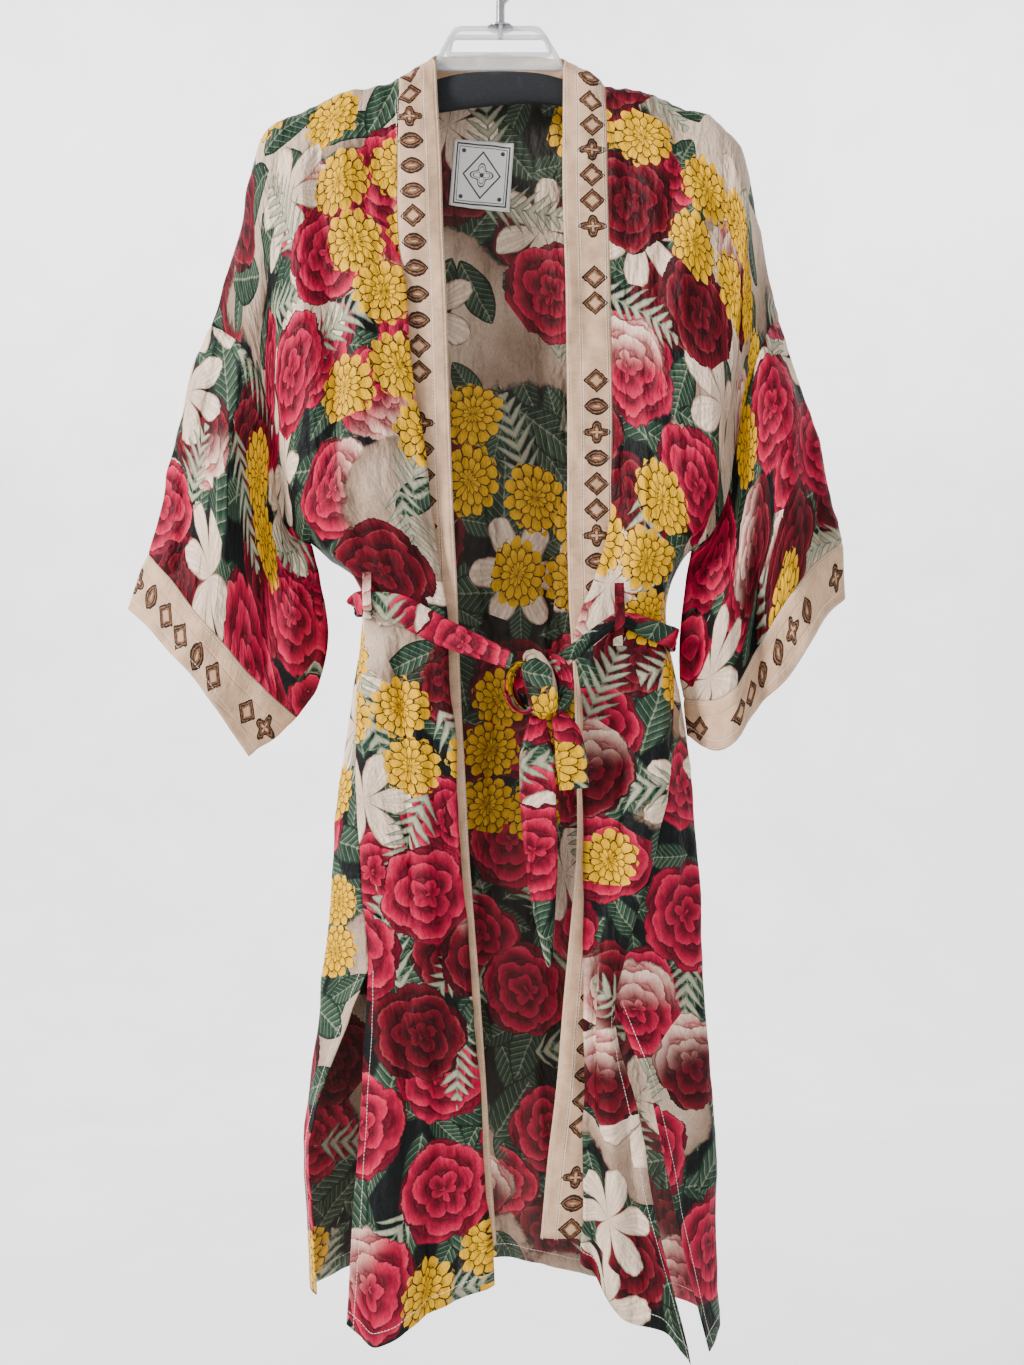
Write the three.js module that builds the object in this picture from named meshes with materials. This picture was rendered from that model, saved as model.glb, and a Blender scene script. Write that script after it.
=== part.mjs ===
// Long open kimono with wide sleeves, beige bands and a tied sash, hanging on a padded hanger.
// Millimetres, +Z up, X to the viewer's right, Y away from the viewer.
// The origin is the inner top of the hanger's hook. "right" and "left" are the wearer's.
import * as THREE from 'three';

// Driving sizes
const WALL = 1.6;
const SEAM_GAP = 0.36;
const LAY_GAP = 0.4;
const BAND_WIDTH = 42.5;
const FOLD_LIFT = 12;
const FOLD_START = 11;
const HOOK_RADIUS = 17;
const HOOK_WIRE = 1.9;
const PAD_SIDES = 14;
const STRAP_STEPS = 2;
const STRAP_SIDES = 10;
const STRAP_JOINT = 1.2;
const STRAP_GAP = 0.75;
const LABEL_SIZE = { width: 58, height: 65, thickness: 1, tilt: 0.09 };
const LABEL_CENTRE = { x: -19, drop: 186 };

// Colours and finishes of the materials
const COLOURS = {
  print: { color: 0x7a2436, roughness: 0.62, metalness: 0 },
  band: { color: 0xcbae93, roughness: 0.68, metalness: 0 },
  label: { color: 0xf2f0ec, roughness: 0.6, metalness: 0 },
  foam: { color: 0x26282b, roughness: 0.85, metalness: 0 },
  clear: { color: 0xe4e8ea, roughness: 0.12, metalness: 0 },
  steel: { color: 0xb9bcc0, roughness: 0.25, metalness: 1 },
};

// A table has named columns; each row becomes an object
function table(columns, rows) {
  return rows.map((row) => Object.fromEntries(columns.map((name, k) => [name, row[k]])));
}

// Fronts: one row for each level, from the shoulder ridge to the hem. X is measured outwards from
// the centre line and drop downwards from the hook. "seam" is where the band joins, "fold" the
// edge of the lengthwise fold that laps the band, "tip" the shoulder tip and below it the lowest
// line of the draped underarm, "end" the armhole seam and then the side seam.
const FRONT_COLUMNS = ['seamDrop', 'seamX', 'foldX', 'chestX', 'chestDrop', 'tipX', 'tipDrop',
  'endX', 'endDrop', 'seamY', 'chestY', 'tipY', 'midY', 'endY'];
const FRONT_RIGHT = table(FRONT_COLUMNS, [
  [119, 95, 106, 149, 134, 221, 172, 272, 350, 0, 0, 0, 0, 0],
  [122, 95, 106, 149, 137, 219, 175, 268, 353, -10, -10, -10, -6, -5],
  [133, 95, 106, 149, 148, 215, 186, 260, 358, -17, -17, -16, -14, -12],
  [184, 96, 107, 149, 190, 214, 244, 237, 379, -22, -27, -24, -26, -24],
  [249, 96, 106, 147, 255, 206, 310, 221, 424, -26, -34, -31, -24, -17],
  [314, 93, 90, 141, 324, 199, 379, 218, 470, -26, -38, -34, -18, -9],
  [379, 91, 84, 138, 392, 193, 444, 213, 511, -26, -42, -36, -15, -5],
  [444, 89, 74, 132, 461, 185, 506, 201, 545, -25, -44, -38, -16, -2],
  [500, 87, 67, 125, 519, 171, 541, 180, 556, -24, -44, -38, -18, 0],
  [547, 85, 60, 113, 563, 149, 569, 158, 572, -22, -42, -34, -18, 0],
  [589, 83, 55, 104, 598, 132, 591, 138, 588, -20, -38, -28, -15, 0],
  [621, 82, 50, 97, 623, 125, 616, 130, 612, -18, -34, -24, -14, 0],
  [649, 81, 49, 95, 649, 125, 649, 132, 649, -18, -34, -26, -16, -3],
  [705, 79, 47, 95, 705, 125, 705, 134, 705, -20, -38, -34, -28, -20],
  [779, 75, 42, 93, 779, 121, 779, 132, 779, -22, -41, -40, -36, -29],
  [854, 71, 37, 87, 854, 115, 854, 127, 854, -22, -43, -43, -41, -36],
  [956, 63, 30, 84, 956, 108, 956, 121, 952, -22, -45, -46, -45, -42],
  [1040, 57, 23, 78, 1044, 113, 1049, 126, 1051, -22, -46, -48, -47, -44],
  [1123, 52, 18, 76, 1137, 117, 1151, 132, 1156, -22, -48, -50, -49, -46],
  [1212, 46, 13, 71, 1270, 116, 1294, 140, 1276, -22, -50, -53, -52, -48],
]);
const FRONT_LEFT = table(FRONT_COLUMNS, [
  [124, 99, 110, 151, 138, 223, 176, 264, 345, 0, 0, 0, 0, 0],
  [127, 99, 110, 151, 141, 221, 179, 261, 348, -10, -10, -10, -6, -5],
  [138, 99, 110, 151, 152, 217, 190, 255, 352, -17, -17, -16, -14, -12],
  [184, 100, 111, 151, 193, 219, 247, 244, 375, -22, -27, -24, -26, -24],
  [249, 101, 112, 149, 258, 216, 314, 232, 421, -26, -34, -32, -24, -16],
  [314, 103, 112, 147, 328, 210, 381, 223, 468, -26, -38, -36, -18, -8],
  [379, 104, 112, 144, 396, 201, 444, 216, 510, -26, -42, -38, -12, -3],
  [444, 105, 112, 141, 465, 192, 506, 200, 547, -25, -44, -40, -14, 0],
  [500, 105, 107, 136, 519, 177, 543, 184, 558, -24, -44, -38, -18, 0],
  [547, 105, 100, 130, 565, 164, 565, 171, 574, -22, -42, -34, -18, 0],
  [589, 106, 88, 121, 601, 152, 598, 160, 595, -20, -38, -28, -15, 0],
  [621, 107, 76, 115, 626, 146, 623, 156, 621, -18, -34, -24, -14, 0],
  [649, 109, 70, 113, 654, 149, 651, 158, 651, -18, -34, -26, -16, -3],
  [705, 112, 78, 122, 705, 153, 705, 162, 705, -20, -38, -34, -28, -20],
  [779, 114, 79, 120, 779, 143, 779, 154, 779, -22, -41, -40, -36, -30],
  [854, 113, 82, 116, 854, 129, 854, 140, 854, -22, -43, -44, -42, -37],
  [986, 101, 80, 91, 986, 98, 986, 105, 984, -23, -45, -46, -45, -43],
  [1060, 95, 80, 96, 1066, 112, 1070, 122, 1072, -24, -46, -48, -47, -45],
  [1130, 87, 79, 102, 1140, 124, 1150, 136, 1154, -25, -48, -51, -50, -46],
  [1205, 80, 78, 112, 1270, 152, 1282, 174, 1314, -26, -50, -54, -53, -47],
]);
const LEVELS = FRONT_RIGHT.length;
const ROUND_LEVEL = 2;
const UNDERARM_LEVEL = 8;
const WAIST_LEVEL = 12;
const SLIT_LEVEL = 16;

// Back: the same levels. "side" is the outline, "blade" lies over the shoulder blade, "end" is
// given only where the back's edge is its own: at the armhole and below the slit.
const BACK_COLUMNS = ['sideX', 'sideDrop', 'sideY', 'bladeX', 'bladeDrop', 'bladeY',
  'endX', 'endDrop', 'endY'];
const BACK_RIGHT = table(BACK_COLUMNS, [
  [221, 172, 0, 149, 134, 0, 272, 350, 0],
  [219, 175, 9, 149, 137, 10, 268, 353, 5],
  [215, 186, 15, 149, 148, 17, 260, 358, 11],
  [214, 244, 23, 149, 190, 26, 237, 379, 22],
  [206, 310, 29, 147, 255, 32, 221, 424, 22],
  [199, 379, 31, 141, 324, 35, 218, 470, 19],
  [193, 444, 32, 138, 392, 37, 213, 511, 14],
  [185, 506, 32, 132, 461, 38, 201, 545, 7],
  [171, 541, 32, 125, 519, 38, 180, 556, 0],
  [149, 569, 28, 113, 563, 38],
  [132, 591, 22, 104, 598, 36],
  [126, 616, 18, 97, 623, 35],
  [130, 649, 14, 97, 649, 36],
  [139, 705, 6, 100, 705, 38],
  [148, 785, 2, 104, 785, 40],
  [156, 854, -2, 108, 854, 42],
  [165, 956, -4, 114, 956, 44],
  [172, 1045, -2, 118, 1045, 46, 157, 1050, -38],
  [178, 1135, 0, 121, 1135, 46, 173, 1128, -26],
  [177, 1262, 4, 118, 1250, 46, 170, 1262, -16],
]);
const BACK_LEFT = table(BACK_COLUMNS, [
  [223, 176, 0, 151, 138, 0, 264, 345, 0],
  [221, 179, 9, 151, 141, 10, 261, 348, 5],
  [217, 190, 15, 151, 152, 17, 255, 352, 11],
  [219, 247, 23, 151, 193, 26, 244, 375, 22],
  [216, 314, 29, 149, 258, 32, 232, 421, 24],
  [210, 381, 31, 147, 328, 35, 223, 468, 22],
  [201, 444, 32, 144, 396, 37, 216, 510, 14],
  [192, 506, 32, 141, 465, 38, 200, 547, 7],
  [177, 543, 32, 136, 519, 38, 184, 558, 0],
  [164, 565, 28, 130, 565, 38],
  [154, 598, 22, 121, 601, 36],
  [152, 623, 18, 117, 626, 35],
  [158, 651, 14, 117, 651, 36],
  [169, 705, 6, 122, 705, 38],
  [180, 779, 2, 128, 779, 40],
  [185, 854, -2, 132, 854, 42],
  [192, 984, -4, 138, 984, 44],
  [197, 1072, -4, 142, 1072, 46, 136, 1072, -47],
  [201, 1154, -2, 145, 1154, 46, 156, 1158, -44],
  [204, 1292, 0, 146, 1282, 46, 192, 1308, -34],
]);
const BACK_CENTRE = table(['drop', 'y'], [
  [122, 26], [126, 26], [136, 27], [184, 29], [249, 32], [314, 34], [379, 36], [444, 38],
  [500, 40], [547, 41], [589, 41], [621, 41], [649, 42], [705, 43], [779, 45], [854, 46],
  [970, 46], [1058, 46], [1145, 46], [1252, 46],
]);

// Soft folds: ridges (negative lift, towards the viewer) and troughs along a line on a panel
const FOLD_COLUMNS = ['fromX', 'fromDrop', 'toX', 'toDrop', 'width', 'lift'];
const FRONT_FOLDS = table(FOLD_COLUMNS, [
  [-186, 180, -184, 400, 13, -9],
  [-160, 220, -150, 520, 10, 6],
  [-130, 300, -112, 560, 12, -5],
  [-92, 640, -78, 900, 9, 6],
  [-72, 700, -62, 1240, 10, -6],
  [-50, 960, -70, 1280, 8, 9],
  [-104, 980, -100, 1290, 11, -6],
  [230, 180, 228, 420, 10, -9],
  [192, 225, 152, 375, 12, -8],
  [170, 190, 132, 420, 10, 6],
  [128, 440, 118, 600, 11, -5],
  [118, 680, 104, 960, 8, 6],
  [96, 900, 108, 1260, 10, -6],
  [112, 1080, 138, 1270, 9, 6],
]);
const BACK_FOLDS = table(FOLD_COLUMNS, [
  [-20, 500, -34, 1240, 16, 9],
  [38, 560, 38, 1250, 12, -9],
  [-80, 620, -92, 1240, 18, 8],
  [86, 640, 100, 1250, 18, 8],
  [-58, 660, -64, 1230, 12, -7],
  [-100, 240, -70, 560, 20, 5],
  [100, 240, 70, 560, 20, 5],
]);

// Sleeves: outer edge, inner edge, seam with the cuff and the cuff's free edge
const EDGE_COLUMNS = ['x', 'drop', 'y'];
const SLEEVE_RIGHT = {
  outer: table(EDGE_COLUMNS, [[272, 350, 0], [295, 418, 0], [313, 483, 0], [322, 528, 0],
    [333, 567, 0]]),
  inner: table(EDGE_COLUMNS, [[180, 556, 0], [172, 592, 0], [164, 642, 0], [174, 690, 0],
    [195, 720, 0]]),
  cuffSeam: table(EDGE_COLUMNS, [[333, 567, 0], [309, 591, -16], [289, 616, -23], [261, 647, -26],
    [233, 682, -22], [195, 720, 0]]),
  cuffEdge: table(EDGE_COLUMNS, [[352, 619, 0], [330, 636, -17], [311, 657, -25], [290, 678, -28],
    [266, 712, -24], [240, 757, 0]]),
  folds: table(FOLD_COLUMNS, [
    [-248, 450, -262, 640, 15, -14],
    [-212, 540, -224, 690, 9, 10],
    [-188, 590, -196, 690, 9, -12],
    [-296, 470, -300, 590, 9, 7],
    [-268, 380, -288, 540, 8, 6],
  ]),
};
const SLEEVE_LEFT = {
  outer: table(EDGE_COLUMNS, [[264, 345, 0], [288, 422, 0], [304, 480, 0], [313, 522, 0],
    [320, 556, 0]]),
  inner: table(EDGE_COLUMNS, [[184, 558, 0], [177, 592, 0], [171, 644, 0], [171, 678, 0],
    [176, 703, 0]]),
  cuffSeam: table(EDGE_COLUMNS, [[320, 556, 0], [297, 574, -14], [277, 597, -20], [257, 628, -22],
    [236, 664, -24], [206, 702, -24], [176, 703, 0]]),
  cuffEdge: table(EDGE_COLUMNS, [[326, 609, 0], [308, 623, -15], [291, 648, -22], [270, 682, -24],
    [240, 712, -26], [206, 751, -22], [180, 738, 0]]),
  folds: table(FOLD_COLUMNS, [
    [205, 570, 212, 712, 14, -16],
    [240, 560, 238, 670, 8, 11],
    [266, 400, 272, 620, 13, -9],
    [290, 450, 300, 570, 8, 6],
    [184, 600, 184, 690, 9, 8],
  ]),
};
const SLEEVE_RINGS = 8;
const SLEEVE_DEPTH = 16;
const CUFF_RINGS = 2;

// Back neck: top edge of the band that runs round the neck
const NECK_TOP = table(EDGE_COLUMNS, [[-64, 95, 0], [-47, 86, 17], [0, 80, 26], [45, 88, 17],
  [61, 98, 0]]);
const NECK_RIGHT_EDGE = table(['x', 'drop', 'y'], [[64, 95, 0], [62, 101, -7], [60, 114, -13],
  [58, 184, -21]]);
const NECK_LEFT_EDGE = table(['x', 'drop', 'y'], [[61, 98, 0], [60, 104, -7], [59, 117, -13],
  [59, 184, -21]]);
const BAND_STEPS = 3;
const NECK_STEPS = 8;

// Belt: centre line, with the flat width, thickness and roll of its section
const STRAP_COLUMNS = ['x', 'drop', 'y', 'width', 'thick', 'roll'];
const BELT_RIGHT = table(STRAP_COLUMNS, [
  [-137.5, 616, -6, 17, 3.2, 0], [-130, 614, -26, 22, 3.4, 0], [-93, 621, -36, 28, 4, 0],
  [-56, 640, -36, 26, 4.5, 0], [-19, 656, -44, 21, 6, 0.1], [12.4, 669, -57, 16, 7, 0],
]);
const BELT_LEFT = table(STRAP_COLUMNS, [
  [55, 669, -57, 14, 7, 0], [76, 653, -47, 14, 10, 0.5], [98, 636, -44, 14, 10, 0.9],
  [112, 630, -40, 15, 8, 0.4], [132, 636, -34, 18, 5, 0], [153, 644, -24, 20, 4, 0],
  [165, 648, -8, 22, 3.4, 0],
]);
const BELT_BACK = table(STRAP_COLUMNS, [
  [-138, 616, -2, 17, 3.2, 0], [-134, 613, 24, 24, 3.6, 0], [-108, 610, 40, 27, 4, 0],
  [-60, 616, 42, 28, 4, 0], [-20, 620, 42, 28, 4, 0],
  [20, 624, 42, 28, 4, 0], [70, 630, 42, 28, 4, 0],
  [126, 640, 40, 26, 4, 0], [161, 646, 26, 24, 3.6, 0], [165, 648, -5, 22, 3.4, 0],
]);
const TAIL_LONG = table(STRAP_COLUMNS, [
  [34, 724.2, -60, 16, 6, 0], [34, 752, -56, 32, 4, 0.1], [35, 800, -54, 33, 3.4, -0.1],
  [38, 850, -53, 30, 3.2, -0.2], [40, 892, -53, 22, 3, -0.1], [43, 925, -53, 12, 2.6, 0],
  [45, 948, -53, 4, 2, 0],
]);
const TAIL_SHORT = table(STRAP_COLUMNS, [
  [51.6, 717.4, -60, 12, 5, 0], [61, 734, -60, 25, 4.5, 0.2], [65, 758, -58, 29, 3.6, 0.1],
  [68, 785, -56, 27, 3, 0],
]);
const LOOP_RIGHT = table(STRAP_COLUMNS, [
  [-123, 586, -10, 8, 1.4, 0], [-123, 594, -10, 8, 1.4, 0], [-123, 608, -10, 8, 1.4, 0],
  [-122, 622, -10, 8, 1.4, 0], [-122, 629, -12, 8, 1.2, 0],
]);
const LOOP_LEFT = table(STRAP_COLUMNS, [
  [110, 596, -20, 9, 1.4, 0], [110, 610, -20, 9, 1.4, 0], [110, 630, -20, 9, 1.4, 0],
  [109, 646, -20, 9, 1.4, 0], [109, 654, -20, 9, 1.4, 0],
]);
const KNOT = { x: 34, drop: 690, y: -60, halfWidth: 25, halfHeight: 34, halfDepth: 13, lobes: 3 };

// Hanger pad: rounded bar with a table of stations across the shoulders. Between the bands the
// drops are from the hook; under the cloth the top is from the ridge and the bottom from the top.
const PAD_COLUMNS = ['x', 'topDrop', 'bottomDrop', 'halfDepth'];
const PAD = table(PAD_COLUMNS, [
  [-208, 5, 13, 4], [-204, 1.6, 20, 6.5], [-190, 0.5, 25, 8], [-149, 0.3, 27, 8.5],
  [-115, 1.2, 29, 8], [-98, 2.2, 30, 7.6], [-84, 122.5, 150, 8.5], [-60, 115, 148, 8.5],
  [-35, 107.7, 144, 8.5], [0, 107.4, 140, 8.5], [35, 107.7, 138, 8.5], [60, 115, 141, 8.5],
  [84, 124, 149, 8.5], [102, 2.2, 30, 7.6], [118, 1.2, 29, 8], [151, 0.3, 27, 8.5],
  [192, 0.5, 25, 8], [206, 1.6, 20, 6.5], [210, 5, 13, 4],
]);
const FRAME = {
  depth: 4.4,
  outline: [[-62, -107], [-62, -98], [-44, -65], [38, -65], [58, -98], [60, -107]],
  hole: [[46, -90], [42, -77], [-45, -77], [-48, -90]],
};

const point = (x, drop, y) => new THREE.Vector3(x, y, -drop);
const lerp = THREE.MathUtils.lerp;
const clamp = THREE.MathUtils.clamp;
const smoothStep = (v, low, high) => THREE.MathUtils.smoothstep(v, low, high);

// Value of every column between the rows of a table, on a smooth curve within the range low..high
function rowAt(rows, t, low = 0, high = rows.length - 1) {
  const base = clamp(Math.floor(t), low, high - 1);
  const f = t - base;
  const pick = (k) => rows[clamp(k, low, high)];
  const blended = {};
  for (const name of Object.keys(rows[base])) {
    const [a, b, c, d] = [base - 1, base, base + 1, base + 2].map((k) => pick(k)[name]);
    const slope0 = (c - a) / 2;
    const slope1 = (d - b) / 2;
    const f2 = f * f;
    const f3 = f2 * f;
    blended[name] = (2 * f3 - 3 * f2 + 1) * b + (f3 - 2 * f2 + f) * slope0
      + (3 * f2 - 2 * f3) * c + (f3 - f2) * slope1;
  }
  return blended;
}

// Levels that are built: single steps at the ridge and the waist, half steps elsewhere
const levels = [];
for (let k = 0; k < LEVELS - 1; k += 1) {
  levels.push(k);
  const single = k < ROUND_LEVEL || (k >= UNDERARM_LEVEL && k < WAIST_LEVEL);
  if (!single) levels.push(k + 0.5);
}
levels.push(LEVELS - 1);
const underarmRow = levels.indexOf(UNDERARM_LEVEL);
const slitRow = levels.indexOf(SLIT_LEVEL);

// Control points of a section and where along them it is sampled
const FRONT_STATIONS = [0, 1, 2, 3, 4, 4.5, 5, 5.33, 5.67, 6, 6.5, 7, 7.5, 8];
const BACK_STATIONS = [8, 7.5, 7, 6.5, 6, 5.67, 5.33, 5, 4.5, 4, 0];
const FOLD_STATIONS = 4;

function sampleSection(controls, stations) {
  const curve = new THREE.CatmullRomCurve3(controls, false, 'centripetal');
  return stations.map((s) => curve.getPoint(s / (controls.length - 1)));
}

// Ridge height added by the folds of a table at a place on a panel
function foldLift(folds, x, z) {
  let lift = 0;
  for (const fold of folds) {
    const from = new THREE.Vector2(fold.fromX, -fold.fromDrop);
    const along = new THREE.Vector2(fold.toX - fold.fromX, fold.fromDrop - fold.toDrop);
    const length = along.length();
    along.divideScalar(length);
    const rel = new THREE.Vector2(x, z).sub(from);
    const s = rel.dot(along) / length;
    const off = Math.abs(rel.cross(along)) / fold.width;
    const taper = smoothStep(s, -0.08, 0.22) * (1 - smoothStep(s, 0.85, 1.08));
    lift += fold.lift * Math.exp(-off * off) * taper;
  }
  return lift;
}

function frontEnd(rows, t) {
  if (t <= UNDERARM_LEVEL) return rowAt(rows, t, 0, UNDERARM_LEVEL);
  return rowAt(rows, t, UNDERARM_LEVEL);
}

// One section of a front panel: band seam, lapping fold, chest, tip, armhole or side seam
function frontSection(rows, sign, t) {
  const row = rowAt(rows, t);
  const end = frontEnd(rows, t);
  const lap = smoothStep(row.seamX - row.foldX, -FOLD_START, FOLD_START);
  const lift = FOLD_LIFT * lap;
  const across = (row.foldX - row.seamX) / (row.chestX - row.seamX);
  const foldDrop = lerp(row.seamDrop, row.chestDrop, lerp(across, 0.6, lap));
  const chestSide = row.foldX + lerp(6, 10, lap);
  const turn = lerp(0.25 * (row.foldX - row.seamX), 3, lap);
  const place = (x, drop, y) => point(sign * x, drop, y);
  const dropAt = (f) => lerp(row.seamDrop, foldDrop, f);
  const controls = [
    place(row.seamX, row.seamDrop, row.seamY),
    place(row.seamX + turn, dropAt(0.25), row.seamY - 0.2 * lift),
    place((row.seamX + row.foldX) / 2, dropAt(0.5), row.seamY - 0.5 * lift),
    place(row.foldX, foldDrop, row.seamY - 0.78 * lift),
    place(chestSide, lerp(foldDrop, row.chestDrop, 0.12), row.seamY - lift),
    place(row.chestX, row.chestDrop, row.chestY),
    place(row.tipX, row.tipDrop, row.tipY),
    place((row.tipX + end.endX) / 2, (row.tipDrop + end.endDrop) / 2, row.midY),
    place(end.endX, end.endDrop, end.endY),
  ];
  const points = sampleSection(controls, FRONT_STATIONS);
  points.forEach((p, j) => {
    const s = FRONT_STATIONS[j];
    const hold = smoothStep(s, 4, 5) * (1 - smoothStep(s, 6.6, 8)) * smoothStep(t, 1, 3);
    p.y += hold * foldLift(FRONT_FOLDS, p.x, p.z);
  });
  return points;
}

function frontGrid(rows, sign) {
  const grid = levels.map((t) => frontSection(rows, sign, t));
  const [ridge] = grid;
  for (let j = 1; j < FOLD_STATIONS; j += 1) {
    ridge[j].lerpVectors(ridge[0], ridge[FOLD_STATIONS], j / FOLD_STATIONS);
  }
  return grid;
}

// Half of a back section, from its edge to the neck side
function backEnd(front, back, t) {
  if (t <= UNDERARM_LEVEL) return rowAt(back, t, 0, UNDERARM_LEVEL);
  if (t <= SLIT_LEVEL) return rowAt(front, t, UNDERARM_LEVEL);
  const slit = { ...front[SLIT_LEVEL] };
  const below = [slit, ...back.slice(SLIT_LEVEL + 1)].map(({ endX, endDrop, endY }) => (
    { endX, endDrop, endY }));
  return rowAt(below, t - SLIT_LEVEL);
}

function backHalf(front, back, sign, t) {
  const shape = back.map(({ sideX, sideDrop, sideY, bladeX, bladeDrop, bladeY }) => (
    { sideX, sideDrop, sideY, bladeX, bladeDrop, bladeY }));
  const row = rowAt(shape, t);
  const end = backEnd(front, back, t);
  const centre = rowAt(BACK_CENTRE, t);
  const neck = rowAt(front, t);
  const neckIn = Math.min(neck.seamX, 0.62 * row.bladeX + 8);
  const neckDrop = lerp(centre.drop, row.bladeDrop, neckIn / row.bladeX);
  const level = smoothStep(t, 0, 2);
  const place = (x, drop, y) => point(sign * x, drop, y);
  const inward = row.sideY - end.endY;
  const bulge = smoothStep(t, UNDERARM_LEVEL, SLIT_LEVEL) * 0.12 * inward;
  const controls = [
    place(neckIn, lerp(neck.seamDrop, neckDrop, level), lerp(0, lerp(row.bladeY, centre.y, 0.5), level)),
    place(row.bladeX, row.bladeDrop, row.bladeY),
    place(row.sideX, row.sideDrop, row.sideY),
    place((row.sideX + end.endX) / 2 + bulge, (row.sideDrop + end.endDrop) / 2,
      (row.sideY + end.endY) / 2 + bulge * 0.4),
    place(end.endX, end.endDrop, end.endY),
  ];
  // the same stations as the front's, so that the ridge has matching points
  const stations = BACK_STATIONS.map((s) => (s === 0 ? 0 : (s === 4 ? 0.3 : s - 4)));
  return sampleSection(controls, stations);
}

function backGrid(fronts) {
  return levels.map((t, i) => {
    const halves = fronts.map(({ rows, back, sign, grid }) => {
      const half = backHalf(rows, back, sign, t);
      if (i === 0) {
        BACK_STATIONS.forEach((s, j) => half[j].copy(grid[0][FRONT_STATIONS.indexOf(s)]));
      }
      if (i >= underarmRow && i <= slitRow) half[0].copy(grid[i].at(-1));
      return half;
    });
    const centre = rowAt(BACK_CENTRE, t);
    const neckPoints = [halves[0].at(-2), halves[0].at(-1), point(0, centre.drop, centre.y),
      halves[1].at(-1), halves[1].at(-2)];
    const middle = [];
    for (let k = 0; k <= NECK_STEPS; k += 1) {
      middle.push(sampleSection(neckPoints, [1 + (2 * k) / NECK_STEPS])[0]);
    }
    const row = [...halves[0].slice(0, -1), ...middle, ...halves[1].slice(0, -1).reverse()];
    const last = row.length - 1;
    row.forEach((p, j) => {
      const edge = Math.min(j, last - j);
      const hold = smoothStep(edge, 1, 5) * smoothStep(t, 2, 4);
      p.y += hold * foldLift(BACK_FOLDS, p.x, p.z);
    });
    return row;
  });
}

function edgePoints(rows, sign, count, depthSign = 1) {
  const controls = rows.map((row) => point(sign * row.x, row.drop, depthSign * row.y));
  const steps = Array.from({ length: count + 1 }, (_, k) => (k / count) * (rows.length - 1));
  return sampleSection(controls, steps);
}

// Sleeve half between the armhole and the cuff seam, filled in from its four edges
function fillPatch(armhole, cuff, outer, inner) {
  const rows = outer.length - 1;
  const columns = armhole.length - 1;
  const patch = [];
  for (let i = 0; i <= rows; i += 1) {
    const s = i / rows;
    patch.push(armhole.map((a, j) => {
      const v = j / columns;
      const p = a.clone().multiplyScalar(1 - s).addScaledVector(cuff[j], s);
      p.addScaledVector(outer[i], 1 - v).addScaledVector(inner[i], v);
      p.addScaledVector(armhole[0], -(1 - s) * (1 - v)).addScaledVector(armhole[columns], -(1 - s) * v);
      p.addScaledVector(cuff[0], -s * (1 - v)).addScaledVector(cuff[columns], -s * v);
      return p;
    }));
  }
  return patch;
}

function ringFrom(frontHalf, backHalfPoints) {
  return [...frontHalf, ...backHalfPoints.slice(1, -1).reverse()];
}

function sleeveGrids(spec, sign, armFront, armBack) {
  const count = armFront.length - 1;
  const outer = edgePoints(spec.outer, sign, SLEEVE_RINGS);
  const inner = edgePoints(spec.inner, sign, SLEEVE_RINGS);
  const halves = [1, -1].map((depthSign) => {
    const arm = depthSign > 0 ? armFront : armBack;
    const cuff = edgePoints(spec.cuffSeam, sign, count, depthSign);
    const patch = fillPatch(arm, cuff, outer, inner);
    patch.forEach((row, i) => {
      const s = i / SLEEVE_RINGS;
      row.forEach((p, j) => {
        const v = j / count;
        const round = Math.sin(Math.PI * v) * Math.sin(Math.PI * Math.min(s * 1.2, 1));
        p.y -= depthSign * SLEEVE_DEPTH * round;
        if (depthSign > 0) {
          const hold = smoothStep(v, 0, 0.12) * (1 - smoothStep(v, 0.88, 1)) * smoothStep(s, 0, 0.25);
          p.y += hold * foldLift(spec.folds, p.x, p.z);
        }
      });
    });
    const edge = edgePoints(spec.cuffEdge, sign, count, depthSign);
    const seam = patch.at(-1);
    edge.forEach((p, j) => {
      p.y += (seam[j].y - cuff[j].y) * 0.8;
    });
    return { patch, seam, edge };
  });
  const [front, back] = halves;
  const sleeve = front.patch.map((row, i) => ringFrom(row, back.patch[i]));
  const cuff = [];
  for (let k = 0; k <= CUFF_RINGS; k += 1) {
    const f = k / CUFF_RINGS;
    const mix = (half) => half.seam.map((p, j) => p.clone().lerp(half.edge[j], f));
    cuff.push(ringFrom(mix(front), mix(back)));
  }
  return { sleeve, cuff };
}

// Band strip from its free inner edge to the seam with the front panel
function bandGrid(rows, sign, top, seam) {
  return levels.map((t, i) => {
    const row = rowAt(rows, t);
    const head = rowAt(top, Math.min(t, top.length - 1));
    const below = smoothStep(t, 2, 4);
    const inner = point(
      sign * lerp(head.x, row.seamX - BAND_WIDTH, below),
      lerp(head.drop, row.seamDrop, smoothStep(t, 2, 3)),
      lerp(head.y, row.seamY - 1, below),
    );
    const strip = [];
    for (let k = 0; k <= BAND_STEPS; k += 1) {
      strip.push(inner.clone().lerp(seam[i], k / BAND_STEPS));
    }
    return strip;
  });
}

function neckGrid(seam) {
  const top = sampleSection(
    NECK_TOP.map((row) => point(row.x, row.drop, row.y)),
    seam.map((_, k) => (k / NECK_STEPS) * (NECK_TOP.length - 1)),
  );
  const grid = [];
  for (let k = 0; k <= BAND_STEPS; k += 1) {
    grid.push(top.map((p, j) => p.clone().lerp(seam[j], k / BAND_STEPS)));
  }
  return grid;
}

// Cloth pieces as grids of points on the middle of the wall
const pieces = {};
function addPiece(name, grid, facing, { closed = false, wall = WALL } = {}) {
  pieces[name] = { name, grid, closed, wall, facing, normals: null, insets: new Map() };
}

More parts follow.
